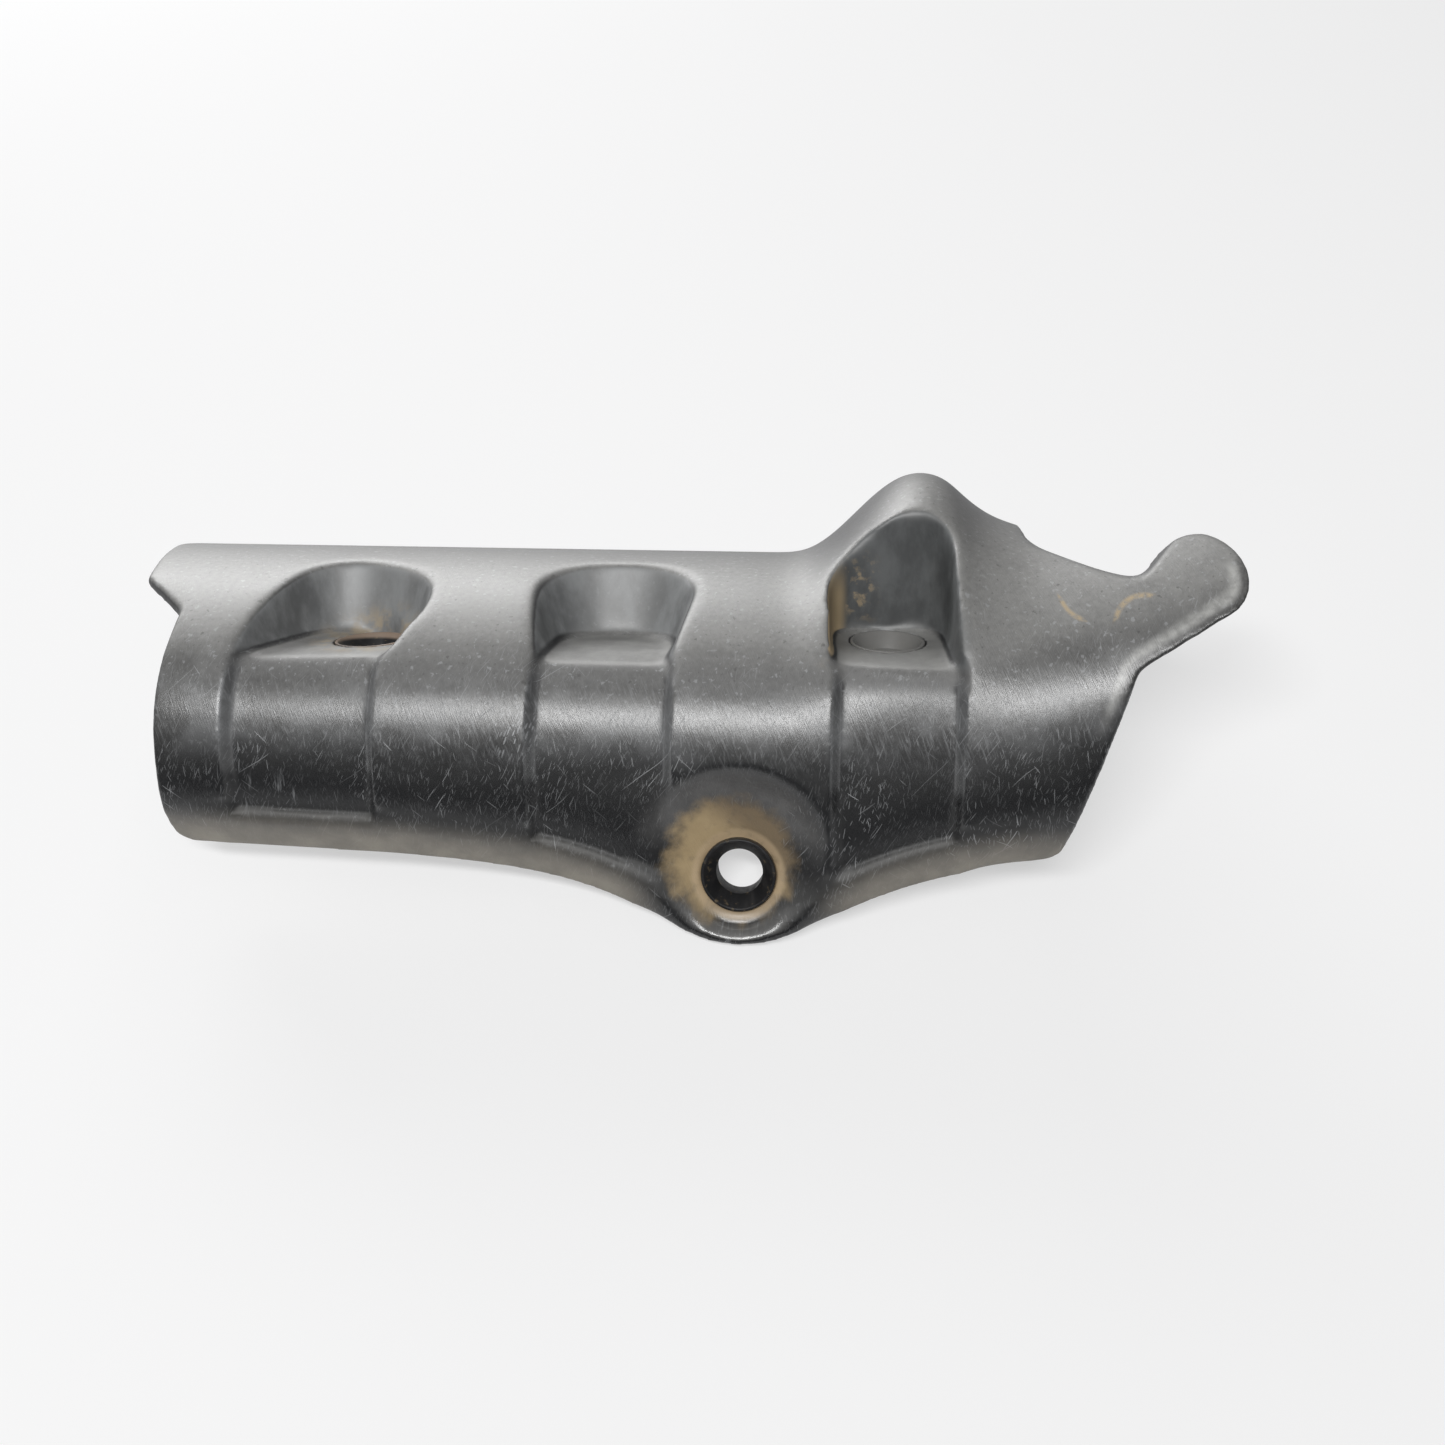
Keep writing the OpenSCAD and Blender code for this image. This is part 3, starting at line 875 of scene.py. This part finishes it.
def dried_dust_and_rim_reflection(on, colour):
    """Dried dust on the rim, where it is also a painted reflection of the pale floor, round the left hole,
    in the right pocket and on the wing: colour and mask.
    """
    tree = on.tree
    # The pale coat on the lower rim is dust and also a painted reflection of the pale floor
    patchy = cloud(tree, on.wrap, scale=0.12, bare=0.3, full=0.7)
    beside_lug = fade(tree, calc(tree, "ABSOLUTE", on.along), *BESIDE_LUG_FADE)
    rim = times(tree, on.rim, beside_lug, ramp(tree, patchy, span=0.35, base=0.65))
    colour = coat(tree, colour, RIM_DUST_AND_REFLECTION, rim)

    from_hole = far(tree, on.place, MOUNTS["left_pocket_bore"]["pos_m"])
    ring = times(
        tree,
        fade(tree, from_hole, *LEFT_HOLE_FADE),
        cloud(tree, on.wrap, scale=0.25, bare=0.4, full=0.6),
        0.55,
    )
    wall = times(
        tree,
        on.walls,
        band(tree, on.along, *WALL_DUST_ALONG_BAND),
        fade(tree, on.up, *WALL_DUST_UP_FADE),
        cloud(tree, on.wrap, scale=0.2, bare=0.25, full=0.45),
        0.9,
    )
    blots = times(
        tree,
        on.walls,
        band(tree, on.along, *BLOTS_ALONG_BAND),
        band(tree, on.up, *BLOTS_UP_BAND),
        cloud(tree, on.place, scale=450.0, bare=0.5, full=0.66),
        0.5,
    )
    smears = times(
        tree,
        most(tree, *(smear(on, *row) for row in WING_SMEARS)),
        cloud(tree, on.wrap, scale=0.7, bare=0.3, full=0.55),
        0.75,
    )
    dried = most(tree, ring, wall, blots, smears)
    colour = coat(tree, colour, blend(tree, on.crown, POCKET_DUST, WING_DUST), dried)
    return colour, most(tree, rim, dried)


def shell_roughness(on, marked, dusty):
    """Glossy plastic, matt on its crown, at the pockets' lips and under marks and dirt."""
    tree = on.tree
    rough = ramp(tree, on.mottle, span=0.16, base=0.24)
    lips = times(tree, on.inset, band(tree, on.up, *LIPS_UP_BAND))
    matt = most(tree, lips, times(tree, on.crown, 0.6))
    rough = ramp(tree, matt, span=0.26, base=rough)
    rough = ramp(tree, most(tree, marked, dusty, on.cornered, on.ledge), span=0.3, base=rough)

    # The lip below the lug's hole is rubbed smooth
    polished = times(tree, fade(tree, on.up, *LUG_LIP_UP_FADE), fade(tree, on.from_lug, *LUG_LIP_FADE))
    return times(tree, rough, ramp(tree, polished, span=-0.3, base=1.0))


def shell_bump(on, marked, dusty):
    """The moulded texture with hairlines, scratches cut into it and dust on top."""
    tree = on.tree
    peel = noise(tree, on.wrap, scale=0.5, detail=3.0)
    grit = noise(tree, on.place, scale=2600.0, detail=2.0)
    streaks = combed(tree, on.wrap, turn=115, length=3.2, width=0.24)
    hairlines = times(tree, on.open_face, noise(tree, streaks, scale=1.0, detail=3.0))
    height = ramp(tree, peel, span=0.5, base=times(tree, grit, 0.06))
    height = ramp(tree, hairlines, span=0.9, base=height)
    height = ramp(tree, marked, span=-0.3, base=height)
    height = ramp(tree, times(tree, dusty, on.streaky), span=0.1, base=height)
    bump = put(tree, "ShaderNodeBump", {"Height": height, "Strength": 0.35, "Distance": 0.15 * MM})
    return bump.outputs[0]


def shell_material(settings):
    """Weathered black plastic with scuffs, scratches, chafed edges and dried dust, and with painted light
    and shade.
    """
    material, tree, shader = new_material("weathered_plastic_with_painted_light")
    on = ShellSurface(tree)
    colour = bleached_and_sheened_plastic(on, settings)
    colour = painted_shade_and_light(on, colour)
    colour = scuffs_and_highlight_on_bulge(on, settings, colour)
    marked = scratched(on)
    colour = coat(tree, colour, tuple(settings.scuffed), marked, 0.75)
    colour = chafed_edges(on, settings, colour)
    colour = knocked(on, settings, colour)
    colour, dish_dust = dusty_dish(on, settings, colour)
    colour, dry_dust = dried_dust_and_rim_reflection(on, colour)
    dusty = most(tree, dish_dust, dry_dust)
    tree.links.new(colour, shader.inputs["Base Color"])
    tree.links.new(shell_roughness(on, marked, dusty), shader.inputs["Roughness"])
    tree.links.new(shell_bump(on, marked, dusty), shader.inputs["Normal"])
    shader.inputs["Specular IOR Level"].default_value = 0.9
    return material


def bush_material(settings, dust):
    """Black rubber with a dull bloom, specks of dust and more dust on the bushes in the pockets, with the
    left one's mouth kept black as painted shade.
    """
    material, tree, shader = new_material("black_rubber")
    place = put(tree, "ShaderNodeTexCoord").outputs["Object"]
    fitted = use(tree, "Fitted place", {"Place": place})
    bloom = cloud(tree, fitted["Wrap"], scale=0.5, bare=0.45, full=0.75, detail=6.0)
    colour = coat(tree, tuple(settings.rubber), RUBBER_BLOOM, bloom, 0.22)
    specks = cloud(tree, place, scale=700.0, bare=0.58, full=0.72, detail=4.0)
    colour = coat(tree, colour, dust, specks, 0.25)

    # Dust covers the right bush, and only the rim of the left one, whose mouth is kept black as painted
    # shade of a deep hole
    in_pocket = fade(tree, fitted["Up"], *POCKET_BUSHES_UP_FADE)
    left = fade(tree, fitted["Along"], *LEFT_BUSH_ALONG_FADE)
    dust_clear_of_shaded_mouth = most(tree, fade(tree, fitted["Up"], *LEFT_BUSH_RIM_FADE), rest(tree, left))
    overlay = blend(tree, left, RIGHT_BUSH_DUST, LEFT_BUSH_DUST)
    colour = coat(tree, colour, overlay, in_pocket, dust_clear_of_shaded_mouth, 0.9)
    tree.links.new(colour, shader.inputs["Base Color"])
    tree.links.new(ramp(tree, bloom, span=0.2, base=0.42), shader.inputs["Roughness"])
    grain = noise(tree, place, scale=3200.0, detail=3.0)
    bump = put(tree, "ShaderNodeBump", {"Height": grain, "Strength": 0.25, "Distance": 0.06 * MM})
    tree.links.new(bump.outputs[0], shader.inputs["Normal"])
    return material


def floor_material(settings):
    """A matt pale floor with a faint mottle, nearer to white for the camera."""
    material, tree, shader = new_material("pale_floor")
    place = put(tree, "ShaderNodeTexCoord").outputs["Object"]
    mottle = noise(tree, place, scale=9.0, detail=3.0)
    dulling, whitening = 0.985, 0.55
    pale = tuple(settings.floor)
    dull = tuple(dulling * part for part in pale[:3]) + (1,)
    tree.links.new(blend(tree, mottle, dull, pale), shader.inputs["Base Color"])
    tree.links.new(ramp(tree, mottle, span=0.1, base=0.75), shader.inputs["Roughness"])
    shader.inputs["Specular IOR Level"].default_value = 0.2
    seen = times(tree, put(tree, "ShaderNodeLightPath").outputs["Is Camera Ray"], whitening)
    white = put(tree, "ShaderNodeEmission", {"Color": (1, 1, 1, 1), "Strength": 1.0})
    mixed = put(tree, "ShaderNodeMixShader", {0: seen, 1: shader.outputs[0], 2: white.outputs[0]})
    tree.links.new(mixed.outputs[0], tree.nodes["Material Output"].inputs["Surface"])
    return material


def add_piece(name, mesh, material):
    """Links a finished mesh as a piece of the guard, smooth shaded."""
    mesh.name = name
    mesh.materials.clear()
    mesh.materials.append(material)
    mesh.polygons.foreach_set("use_smooth", [True] * len(mesh.polygons))
    piece = bpy.data.objects.new(name, mesh)
    bpy.context.scene.collection.objects.link(piece)
    return piece


def evaluated_mesh(source):
    """A plain mesh of an object with its modifiers applied."""
    depsgraph = bpy.context.evaluated_depsgraph_get()
    return bpy.data.meshes.new_from_object(source.evaluated_get(depsgraph))


def modified(mesh, kind, **settings):
    """The mesh with one modifier applied, in place of the mesh itself."""
    blank = bpy.data.objects.new("blank", mesh)
    bpy.context.scene.collection.objects.link(blank)
    modifier = blank.modifiers.new(kind.lower(), kind)
    for name, value in settings.items():
        setattr(modifier, name, value)
    result = evaluated_mesh(blank)
    bpy.data.objects.remove(blank)
    bpy.data.meshes.remove(mesh)
    return result


def thinned(mesh, most_triangles):
    """The mesh with its flattest parts merged until few enough triangles are left."""
    triangles = sum(face.loop_total - 2 for face in mesh.polygons)
    return modified(mesh, "DECIMATE", ratio=min(1.0, most_triangles / triangles))


def merged_copy(node):
    """A copy of a CAD node's mesh with its loose triangles joined."""
    mesh = node.data.copy()
    shape = bmesh.new()
    shape.from_mesh(mesh)
    bmesh.ops.remove_doubles(shape, verts=shape.verts, dist=0.001 * MM)
    shape.to_mesh(mesh)
    return mesh, shape


def edge_points(shape, limit, convex):
    """Points along the edges that turn by more than a limit, outwards or inwards."""
    step = 0.5 * MM
    points = []
    for edge in shape.edges:
        if len(edge.link_faces) != 2 or edge.calc_face_angle(0) < limit:
            continue
        if (edge.calc_face_angle_signed(0) > 0) != convex:
            continue
        start, end = (vert.co for vert in edge.verts)
        count = max(1, math.ceil((end - start).length / step))
        points += [start.lerp(end, (i + 0.5) / count) for i in range(count)]
    return points


def distances(co, points):
    """Distance of each point of a mesh from the nearest of some points."""
    tree = KDTree(len(points))
    for index, point in enumerate(points):
        tree.insert(point, index)
    tree.balance()
    return np.array([tree.find(point)[2] for point in co])


def smooth_step(values, low, high):
    """Smooth steps from 0 at low to 1 at high."""
    share = np.clip((values - low) / (high - low), 0, 1)
    return share * share * (3 - 2 * share)


def relax(co, edges, weight, passes):
    """Moves each point half of the way to the mean of its neighbours, times its weight."""
    first, second = edges.T
    count = np.bincount(first, minlength=len(co)) + np.bincount(second, minlength=len(co))
    count = np.maximum(1, count)
    for _ in range(passes):
        total = np.empty_like(co)
        for axis in range(3):
            total[:, axis] = np.bincount(first, co[second, axis], len(co))
            total[:, axis] += np.bincount(second, co[first, axis], len(co))
        co += 0.5 * weight[:, None] * (total / count[:, None] - co)
    return co


def fitted_points(co):
    """Points in millimetres, in the way the guard is fitted, from the lug's seat."""
    turn = Matrix.Rotation(LEAN, 3, "X")
    return (co @ np.array(turn).T + (0, SEAT_TO_BORE, 0)) / MM


def above_edge(place):
    """Height of each point above the lower edge at its place along the guard, between the sloping ends."""
    along, back, up = place.T
    spots = np.arange(LOWER_EDGE_LEFT, LOWER_EDGE_RIGHT, LOWER_EDGE_STEP)
    slot = np.round((np.clip(along, spots[0], spots[-1]) - spots[0]) / LOWER_EDGE_STEP).astype(int)
    lowest = np.full(len(spots), np.inf)
    front = (back < FRONT_DEPTH) & (along > spots[0]) & (along < spots[-1])
    np.minimum.at(lowest, slot[front], up[front])
    return up - np.interp(along, spots, lowest)


def soft_zone(place, co):
    """Where the mould has large radii: the pockets, clear of their bushes, the dish's rim and the tab."""
    along, back, up = place.T
    pockets = smooth_step(up, *ROUND_POCKETS_UP_FADE) * smooth_step(back, *ROUND_POCKETS_BACK_FADE)
    pockets *= smooth_step(along, *POCKETS_RIGHT_FADE) * smooth_step(along, *POCKETS_LEFT_FADE)
    for name in ("left_pocket_bore", "right_pocket_bore"):
        away = np.cross(co - MOUNTS[name]["pos_m"], MOUNTS[name]["axis"])
        pockets *= smooth_step(np.linalg.norm(away, axis=1), *CLEAR_OF_BUSH_FADE)
    from_dish = np.hypot(along, up - DISH_MIDDLE_UP)
    dish = smooth_step(from_dish, *DISH_RIM_INNER_FADE) * smooth_step(from_dish, *DISH_RIM_OUTER_FADE)
    dish *= smooth_step(back, *DISH_RIM_BACK_FADE) * smooth_step(up, *DISH_RIM_UP_FADE)
    tab = smooth_step(along, *TAB_FADE)
    return np.maximum.reduce([pockets, 0.85 * dish, 0.8 * tab])


def ledge_zone(place, height):
    """The feet of the grooves, some way above the front's lower edge."""
    along, back, _ = place.T
    ledge = smooth_step(height, *LEDGE_FOOT_FADE) * smooth_step(height, *LEDGE_TOP_FADE)
    ledge *= smooth_step(back, *LEDGE_BACK_FADE)
    ledge *= smooth_step(along, *POCKETS_LEFT_FADE) * smooth_step(along, *LEDGE_RIGHT_FADE)
    return ledge


def wing_zone(place):
    """The wing, which starts further left at the back of the hump."""
    along, back, _ = place.T
    behind_hump = smooth_step(along, *HUMP_ALONG_FADE) * smooth_step(back, *HUMP_BACK_FADE)
    return np.maximum(smooth_step(along, *WING_ALONG_FADE), behind_hump)


def read_array(items, name, width, kind):
    """One property of all points or edges of a mesh, a row for each."""
    values = np.empty(len(items) * width, kind)
    items.foreach_get(name, values)
    return values.reshape(-1, width)


def add_mask(mesh, name, values):
    """Stores a mask on the points of a mesh."""
    layer = mesh.attributes.new(name, "FLOAT", "POINT")
    layer.data.foreach_set("value", values.astype(np.float32))


class GUARD_OT_mould_shell(bpy.types.Operator):
    """Makes the moulded shell, with rounded edges and smooth faces, over its CAD node"""

    bl_idname = "guard.mould_shell"
    bl_label = "Mould the shell"

    def execute(self, context):
        settings = context.scene.guard_shell
        mesh, shape = merged_copy(frame["nodes"]["guard_shell"])
        outer = edge_points(shape, MOULDED_TURN, True)
        inner = edge_points(shape, MOULDED_TURN, False)
        knife = edge_points(shape, KNIFE_TURN, True)
        shape.free()
        skin = modified(mesh, "REMESH", mode="VOXEL", voxel_size=settings.voxel)

        co = read_array(skin.vertices, "co", 3, float)
        edges = read_array(skin.edges, "vertices", 2, int)
        to_outer = distances(co, outer)
        to_inner = distances(co, inner)
        place = fitted_points(co)
        along, back, _ = place.T
        height = above_edge(place)
        ledge = ledge_zone(place, height)
        radii = soft_zone(place, co)
        wing = wing_zone(place)

        # The edges are rounded first, then the ends, then the thin edge in the notch, and the faces last
        co = relax(co, edges, np.ones(len(co)), settings.edge_passes)
        ends = np.maximum(wing, smooth_step(along, *LEFT_END_FADE))
        co = relax(co, edges, ends, settings.end_passes)
        thin = smooth_step(distances(co, knife), *KNIFE_FADE) * wing * smooth_step(along, *NOTCH_ALONG_FADE)
        co = relax(co, edges[(thin[edges] > 0).any(axis=1)], thin, settings.knife_passes)
        free = smooth_step(np.minimum(to_outer, to_inner), OPEN_FACE_START, settings.edge_reach)
        soft = radii * (0.6 + 0.4 * smooth_step(to_outer, *ROUND_EDGE_FADE))
        soft = np.maximum(soft, ledge * smooth_step(to_inner, *LEDGE_CORNER_FADE))
        co = relax(co, edges, np.maximum(free, soft), settings.face_passes)
        skin.vertices.foreach_set("co", co.ravel())
        skin.update()

        add_mask(skin, "worn", np.exp(-((to_outer / WORN_REACH) ** 2)) * (1 - np.minimum(1, 3 * radii)))
        add_mask(skin, "border", np.minimum(to_outer / MM, WIDEST_BORDER))
        add_mask(skin, "rim", smooth_step(height, *RIM_FADE) * (back < FRONT_DEPTH))
        add_mask(skin, "nook", np.exp(-((to_inner / NOOK_REACH) ** 2)))
        add_mask(skin, "ledge", ledge)
        skin = thinned(skin, settings.triangles)

        shell = add_piece("moulded_shell", skin, shell_material(settings))
        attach(shell, BODY)
        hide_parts("guard_shell")
        return {"FINISHED"}


BUSH_LENGTHS = (
    "Bore radius",
    "Bore length",
    "Wall",
    "Flange radius",
    "Flange height",
    "Mouth depth",
    "Rim",
    "Edge radius",
)


def bush_tree(material):
    """A geometry node tree that turns a bush from its sizes and sets it on its mount."""
    tree = bpy.data.node_groups.new("Turned bush", "GeometryNodeTree")
    tree.interface.new_socket("Geometry", in_out="INPUT", socket_type="NodeSocketGeometry")
    for label in BUSH_LENGTHS:
        tree.interface.new_socket(label, in_out="INPUT", socket_type="NodeSocketFloat")
    for label in ("Place", "Axis"):
        tree.interface.new_socket(label, in_out="INPUT", socket_type="NodeSocketVector")
    tree.interface.new_socket("Geometry", in_out="OUTPUT", socket_type="NodeSocketGeometry")
    start = tree.nodes.new("NodeGroupInput").outputs
    end = tree.nodes.new("NodeGroupOutput").inputs

    # Radius and height of the outline's corners, from the foot of the bore round to its mouth
    bore, flange = start["Bore radius"], start["Flange radius"]
    half = times(tree, start["Bore length"], 0.5)
    foot = times(tree, half, -1.0)
    top = calc(tree, "ADD", half, start["Mouth depth"])
    shank = calc(tree, "ADD", bore, start["Wall"])
    ledge = calc(tree, "SUBTRACT", top, start["Flange height"])
    lip = calc(tree, "SUBTRACT", flange, start["Rim"])
    outline = [(bore, foot), (shank, foot), (shank, ledge), (flange, ledge)]
    outline += [(flange, top), (lip, top), (bore, half)]

    index = tree.nodes.new("GeometryNodeInputIndex").outputs[0]
    choice = put(tree, "GeometryNodeIndexSwitch", data_type="VECTOR")
    while len(choice.index_switch_items) < len(outline):
        choice.index_switch_items.new()
    tree.links.new(index, choice.inputs["Index"])
    for i, (radius, height) in enumerate(outline):
        tree.links.new(join(tree, radius, times(tree, height, -1.0)), choice.inputs[i + 1])
    row = put(tree, "GeometryNodeMeshLine", {"Count": len(outline)})
    sockets = {"Geometry": row.outputs[0], "Position": choice.outputs[0]}
    shaped = put(tree, "GeometryNodeSetPosition", sockets)
    profile = put(tree, "GeometryNodeMeshToCurve", {"Mesh": shaped.outputs[0]})
    closed = put(tree, "GeometryNodeSetSplineCyclic", {"Geometry": profile.outputs[0], "Cyclic": True})
    sockets = {"Curve": closed.outputs[0], "Radius": start["Edge radius"], "Count": 4, "Limit Radius": True}
    rounded = put(tree, "GeometryNodeFilletCurve", sockets, mode="POLY")

    # The outline carries its own radius, so the ring that it is swept along is next to nothing
    ring = put(tree, "GeometryNodeCurvePrimitiveCircle", {"Resolution": 96, "Radius": 1.0})
    thin = put(tree, "GeometryNodeTransform", {"Geometry": ring.outputs[0], "Scale": (1e-6, 1e-6, 1e-6)})
    sockets = {"Curve": thin.outputs[0], "Profile Curve": rounded.outputs[0]}
    turned = put(tree, "GeometryNodeCurveToMesh", sockets)
    aim = put(tree, "FunctionNodeAlignRotationToVector", {"Vector": start["Axis"]}, axis="Z")
    sockets = {"Geometry": turned.outputs[0], "Translation": start["Place"], "Rotation": aim.outputs[0]}
    placed = put(tree, "GeometryNodeTransform", sockets)
    solid = put(tree, "GeometryNodeRealizeInstances", {"Geometry": placed.outputs[0]})
    dressed = put(tree, "GeometryNodeSetMaterial", {"Geometry": solid.outputs[0], "Material": material})
    tree.links.new(dressed.outputs[0], end["Geometry"])
    return tree


class GUARD_OT_turn_bushes(bpy.types.Operator):
    """Turns the flanged bushes and sets them in the lug and the pockets"""

    bl_idname = "guard.turn_bushes"
    bl_label = "Turn the bushes"

    def execute(self, context):
        settings = context.scene.guard_bush
        material = bush_material(settings, tuple(context.scene.guard_shell.dust))
        tree = bush_tree(material)
        inputs = [item for item in tree.interface.items_tree if item.in_out == "INPUT"]
        sockets = {item.name: item.identifier for item in inputs}
        for node, mount_name in BUSHES.items():
            mount = MOUNTS[mount_name]
            blank = bpy.data.objects.new(node + "_blank", bpy.data.meshes.new(node + "_blank"))
            context.scene.collection.objects.link(blank)
            modifier = blank.modifiers.new("bush", "NODES")
            modifier.node_group = tree
            values = {
                "Bore radius": mount["dims"]["r_mm"] * MM,
                "Bore length": mount["dims"]["length_mm"] * MM,
                "Wall": settings.wall,
                "Flange radius": settings.flange_radius,
                "Flange height": settings.flange_height,
                "Mouth depth": settings.sink,
                "Rim": settings.rim,
                "Edge radius": settings.edge_radius,
                "Place": mount["pos_m"],
                "Axis": mount["axis"],
            }
            for label, value in values.items():
                modifier[sockets[label]] = value
            mesh = evaluated_mesh(blank)
            bpy.data.objects.remove(blank)
            if not mesh.polygons:
                raise RuntimeError(f"the bush tree made no faces for {node}")
            shape = bmesh.new()
            shape.from_mesh(mesh)
            bmesh.ops.recalc_face_normals(shape, faces=shape.faces)
            shape.to_mesh(mesh)
            shape.free()
            bush = add_piece(node.replace("bush", "ring"), mesh, material)
            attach(bush, BODY)
            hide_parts(node)
        return {"FINISHED"}


def add_lamp(name, power, size, place):
    """A rectangular lamp that faces the guard."""
    data = bpy.data.lights.new(name, "AREA")
    data.shape = "RECTANGLE"
    data.size, data.size_y = size
    data.energy = power
    lamp = bpy.data.objects.new(name, data)
    lamp.location = place
    lamp.rotation_euler = (Vector(LAMP_AIM) - Vector(place)).to_track_quat("-Z", "Y").to_euler()
    lamp.visible_camera = False
    bpy.context.scene.collection.objects.link(lamp)


class GUARD_OT_lay_stage(bpy.types.Operator):
    """Lays the floor, hangs the lamps and sets the camera"""

    bl_idname = "guard.lay_stage"
    bl_label = "Lay the stage"

    def execute(self, context):
        settings = context.scene.guard_stage
        level = CAD_BOX[0].z
        signs = ((-1, -1), (1, -1), (1, 1), (-1, 1))
        corners = [(x * FLOOR_HALF, y * FLOOR_HALF, level) for x, y in signs]
        mesh = bpy.data.meshes.new("floor")
        mesh.from_pydata(corners, [], [(0, 1, 2, 3)])
        mesh.materials.append(floor_material(settings))
        floor = bpy.data.objects.new("floor", mesh)
        context.scene.collection.objects.link(floor)

        add_lamp("ceiling_lamp", settings.ceiling_power, CEILING_LAMP_SIZE, CEILING_LAMP_PLACE)
        add_lamp("back_lamp", settings.wall_power, BACK_LAMP_SIZE, BACK_LAMP_PLACE)

        world = bpy.data.worlds.new("soft_room")
        world.use_nodes = True
        world.node_tree.nodes["Background"].inputs["Color"].default_value = ROOM
        context.scene.world = world
        context.scene.view_settings.view_transform = "Standard"

        data = bpy.data.cameras.new("camera")
        data.lens = settings.lens
        data.sensor_width = CAMERA_SENSOR
        data.clip_start = CAMERA_CLIP
        camera = bpy.data.objects.new("camera", data)
        camera.location = CAMERA_PLACE
        camera.rotation_euler = [math.radians(angle) for angle in CAMERA_TURN]
        context.scene.collection.objects.link(camera)
        context.scene.camera = camera
        return {"FINISHED"}


class GUARD_PT_panel(bpy.types.Panel):
    """Lists the steps that finish the guard"""

    bl_idname = "GUARD_PT_panel"
    bl_label = "Half-pipe guard"
    bl_space_type = "VIEW_3D"
    bl_region_type = "UI"
    bl_category = "Guard"

    def draw(self, context):
        for settings, step in PANEL_ROWS:
            box = self.layout.box()
            group = getattr(context.scene, settings)
            for name in group.bl_rna.properties.keys():
                if name not in ("rna_type", "name"):
                    box.prop(group, name)
            box.operator(step)


PANEL_ROWS = (
    ("guard_shell", "guard.mould_shell"),
    ("guard_bush", "guard.turn_bushes"),
    ("guard_stage", "guard.lay_stage"),
)
CLASSES = (
    ShellSettings,
    BushSettings,
    StageSettings,
    GUARD_OT_mould_shell,
    GUARD_OT_turn_bushes,
    GUARD_OT_lay_stage,
    GUARD_PT_panel,
)
SETTINGS = {"guard_shell": ShellSettings, "guard_bush": BushSettings, "guard_stage": StageSettings}


def register():
    """Registers the classes and gives the scene its settings."""
    for item in CLASSES:
        bpy.utils.register_class(item)
    for name, group in SETTINGS.items():
        setattr(bpy.types.Scene, name, bpy.props.PointerProperty(type=group))


def unregister():
    """Takes the settings and the classes away again."""
    for name in SETTINGS:
        delattr(bpy.types.Scene, name)
    for item in reversed(CLASSES):
        bpy.utils.unregister_class(item)


def main():
    """Finishes the guard step by step."""
    register()
    bpy.ops.guard.mould_shell()
    bpy.ops.guard.turn_bushes()
    bpy.ops.guard.lay_stage()


if __name__ == "__main__":
    main()
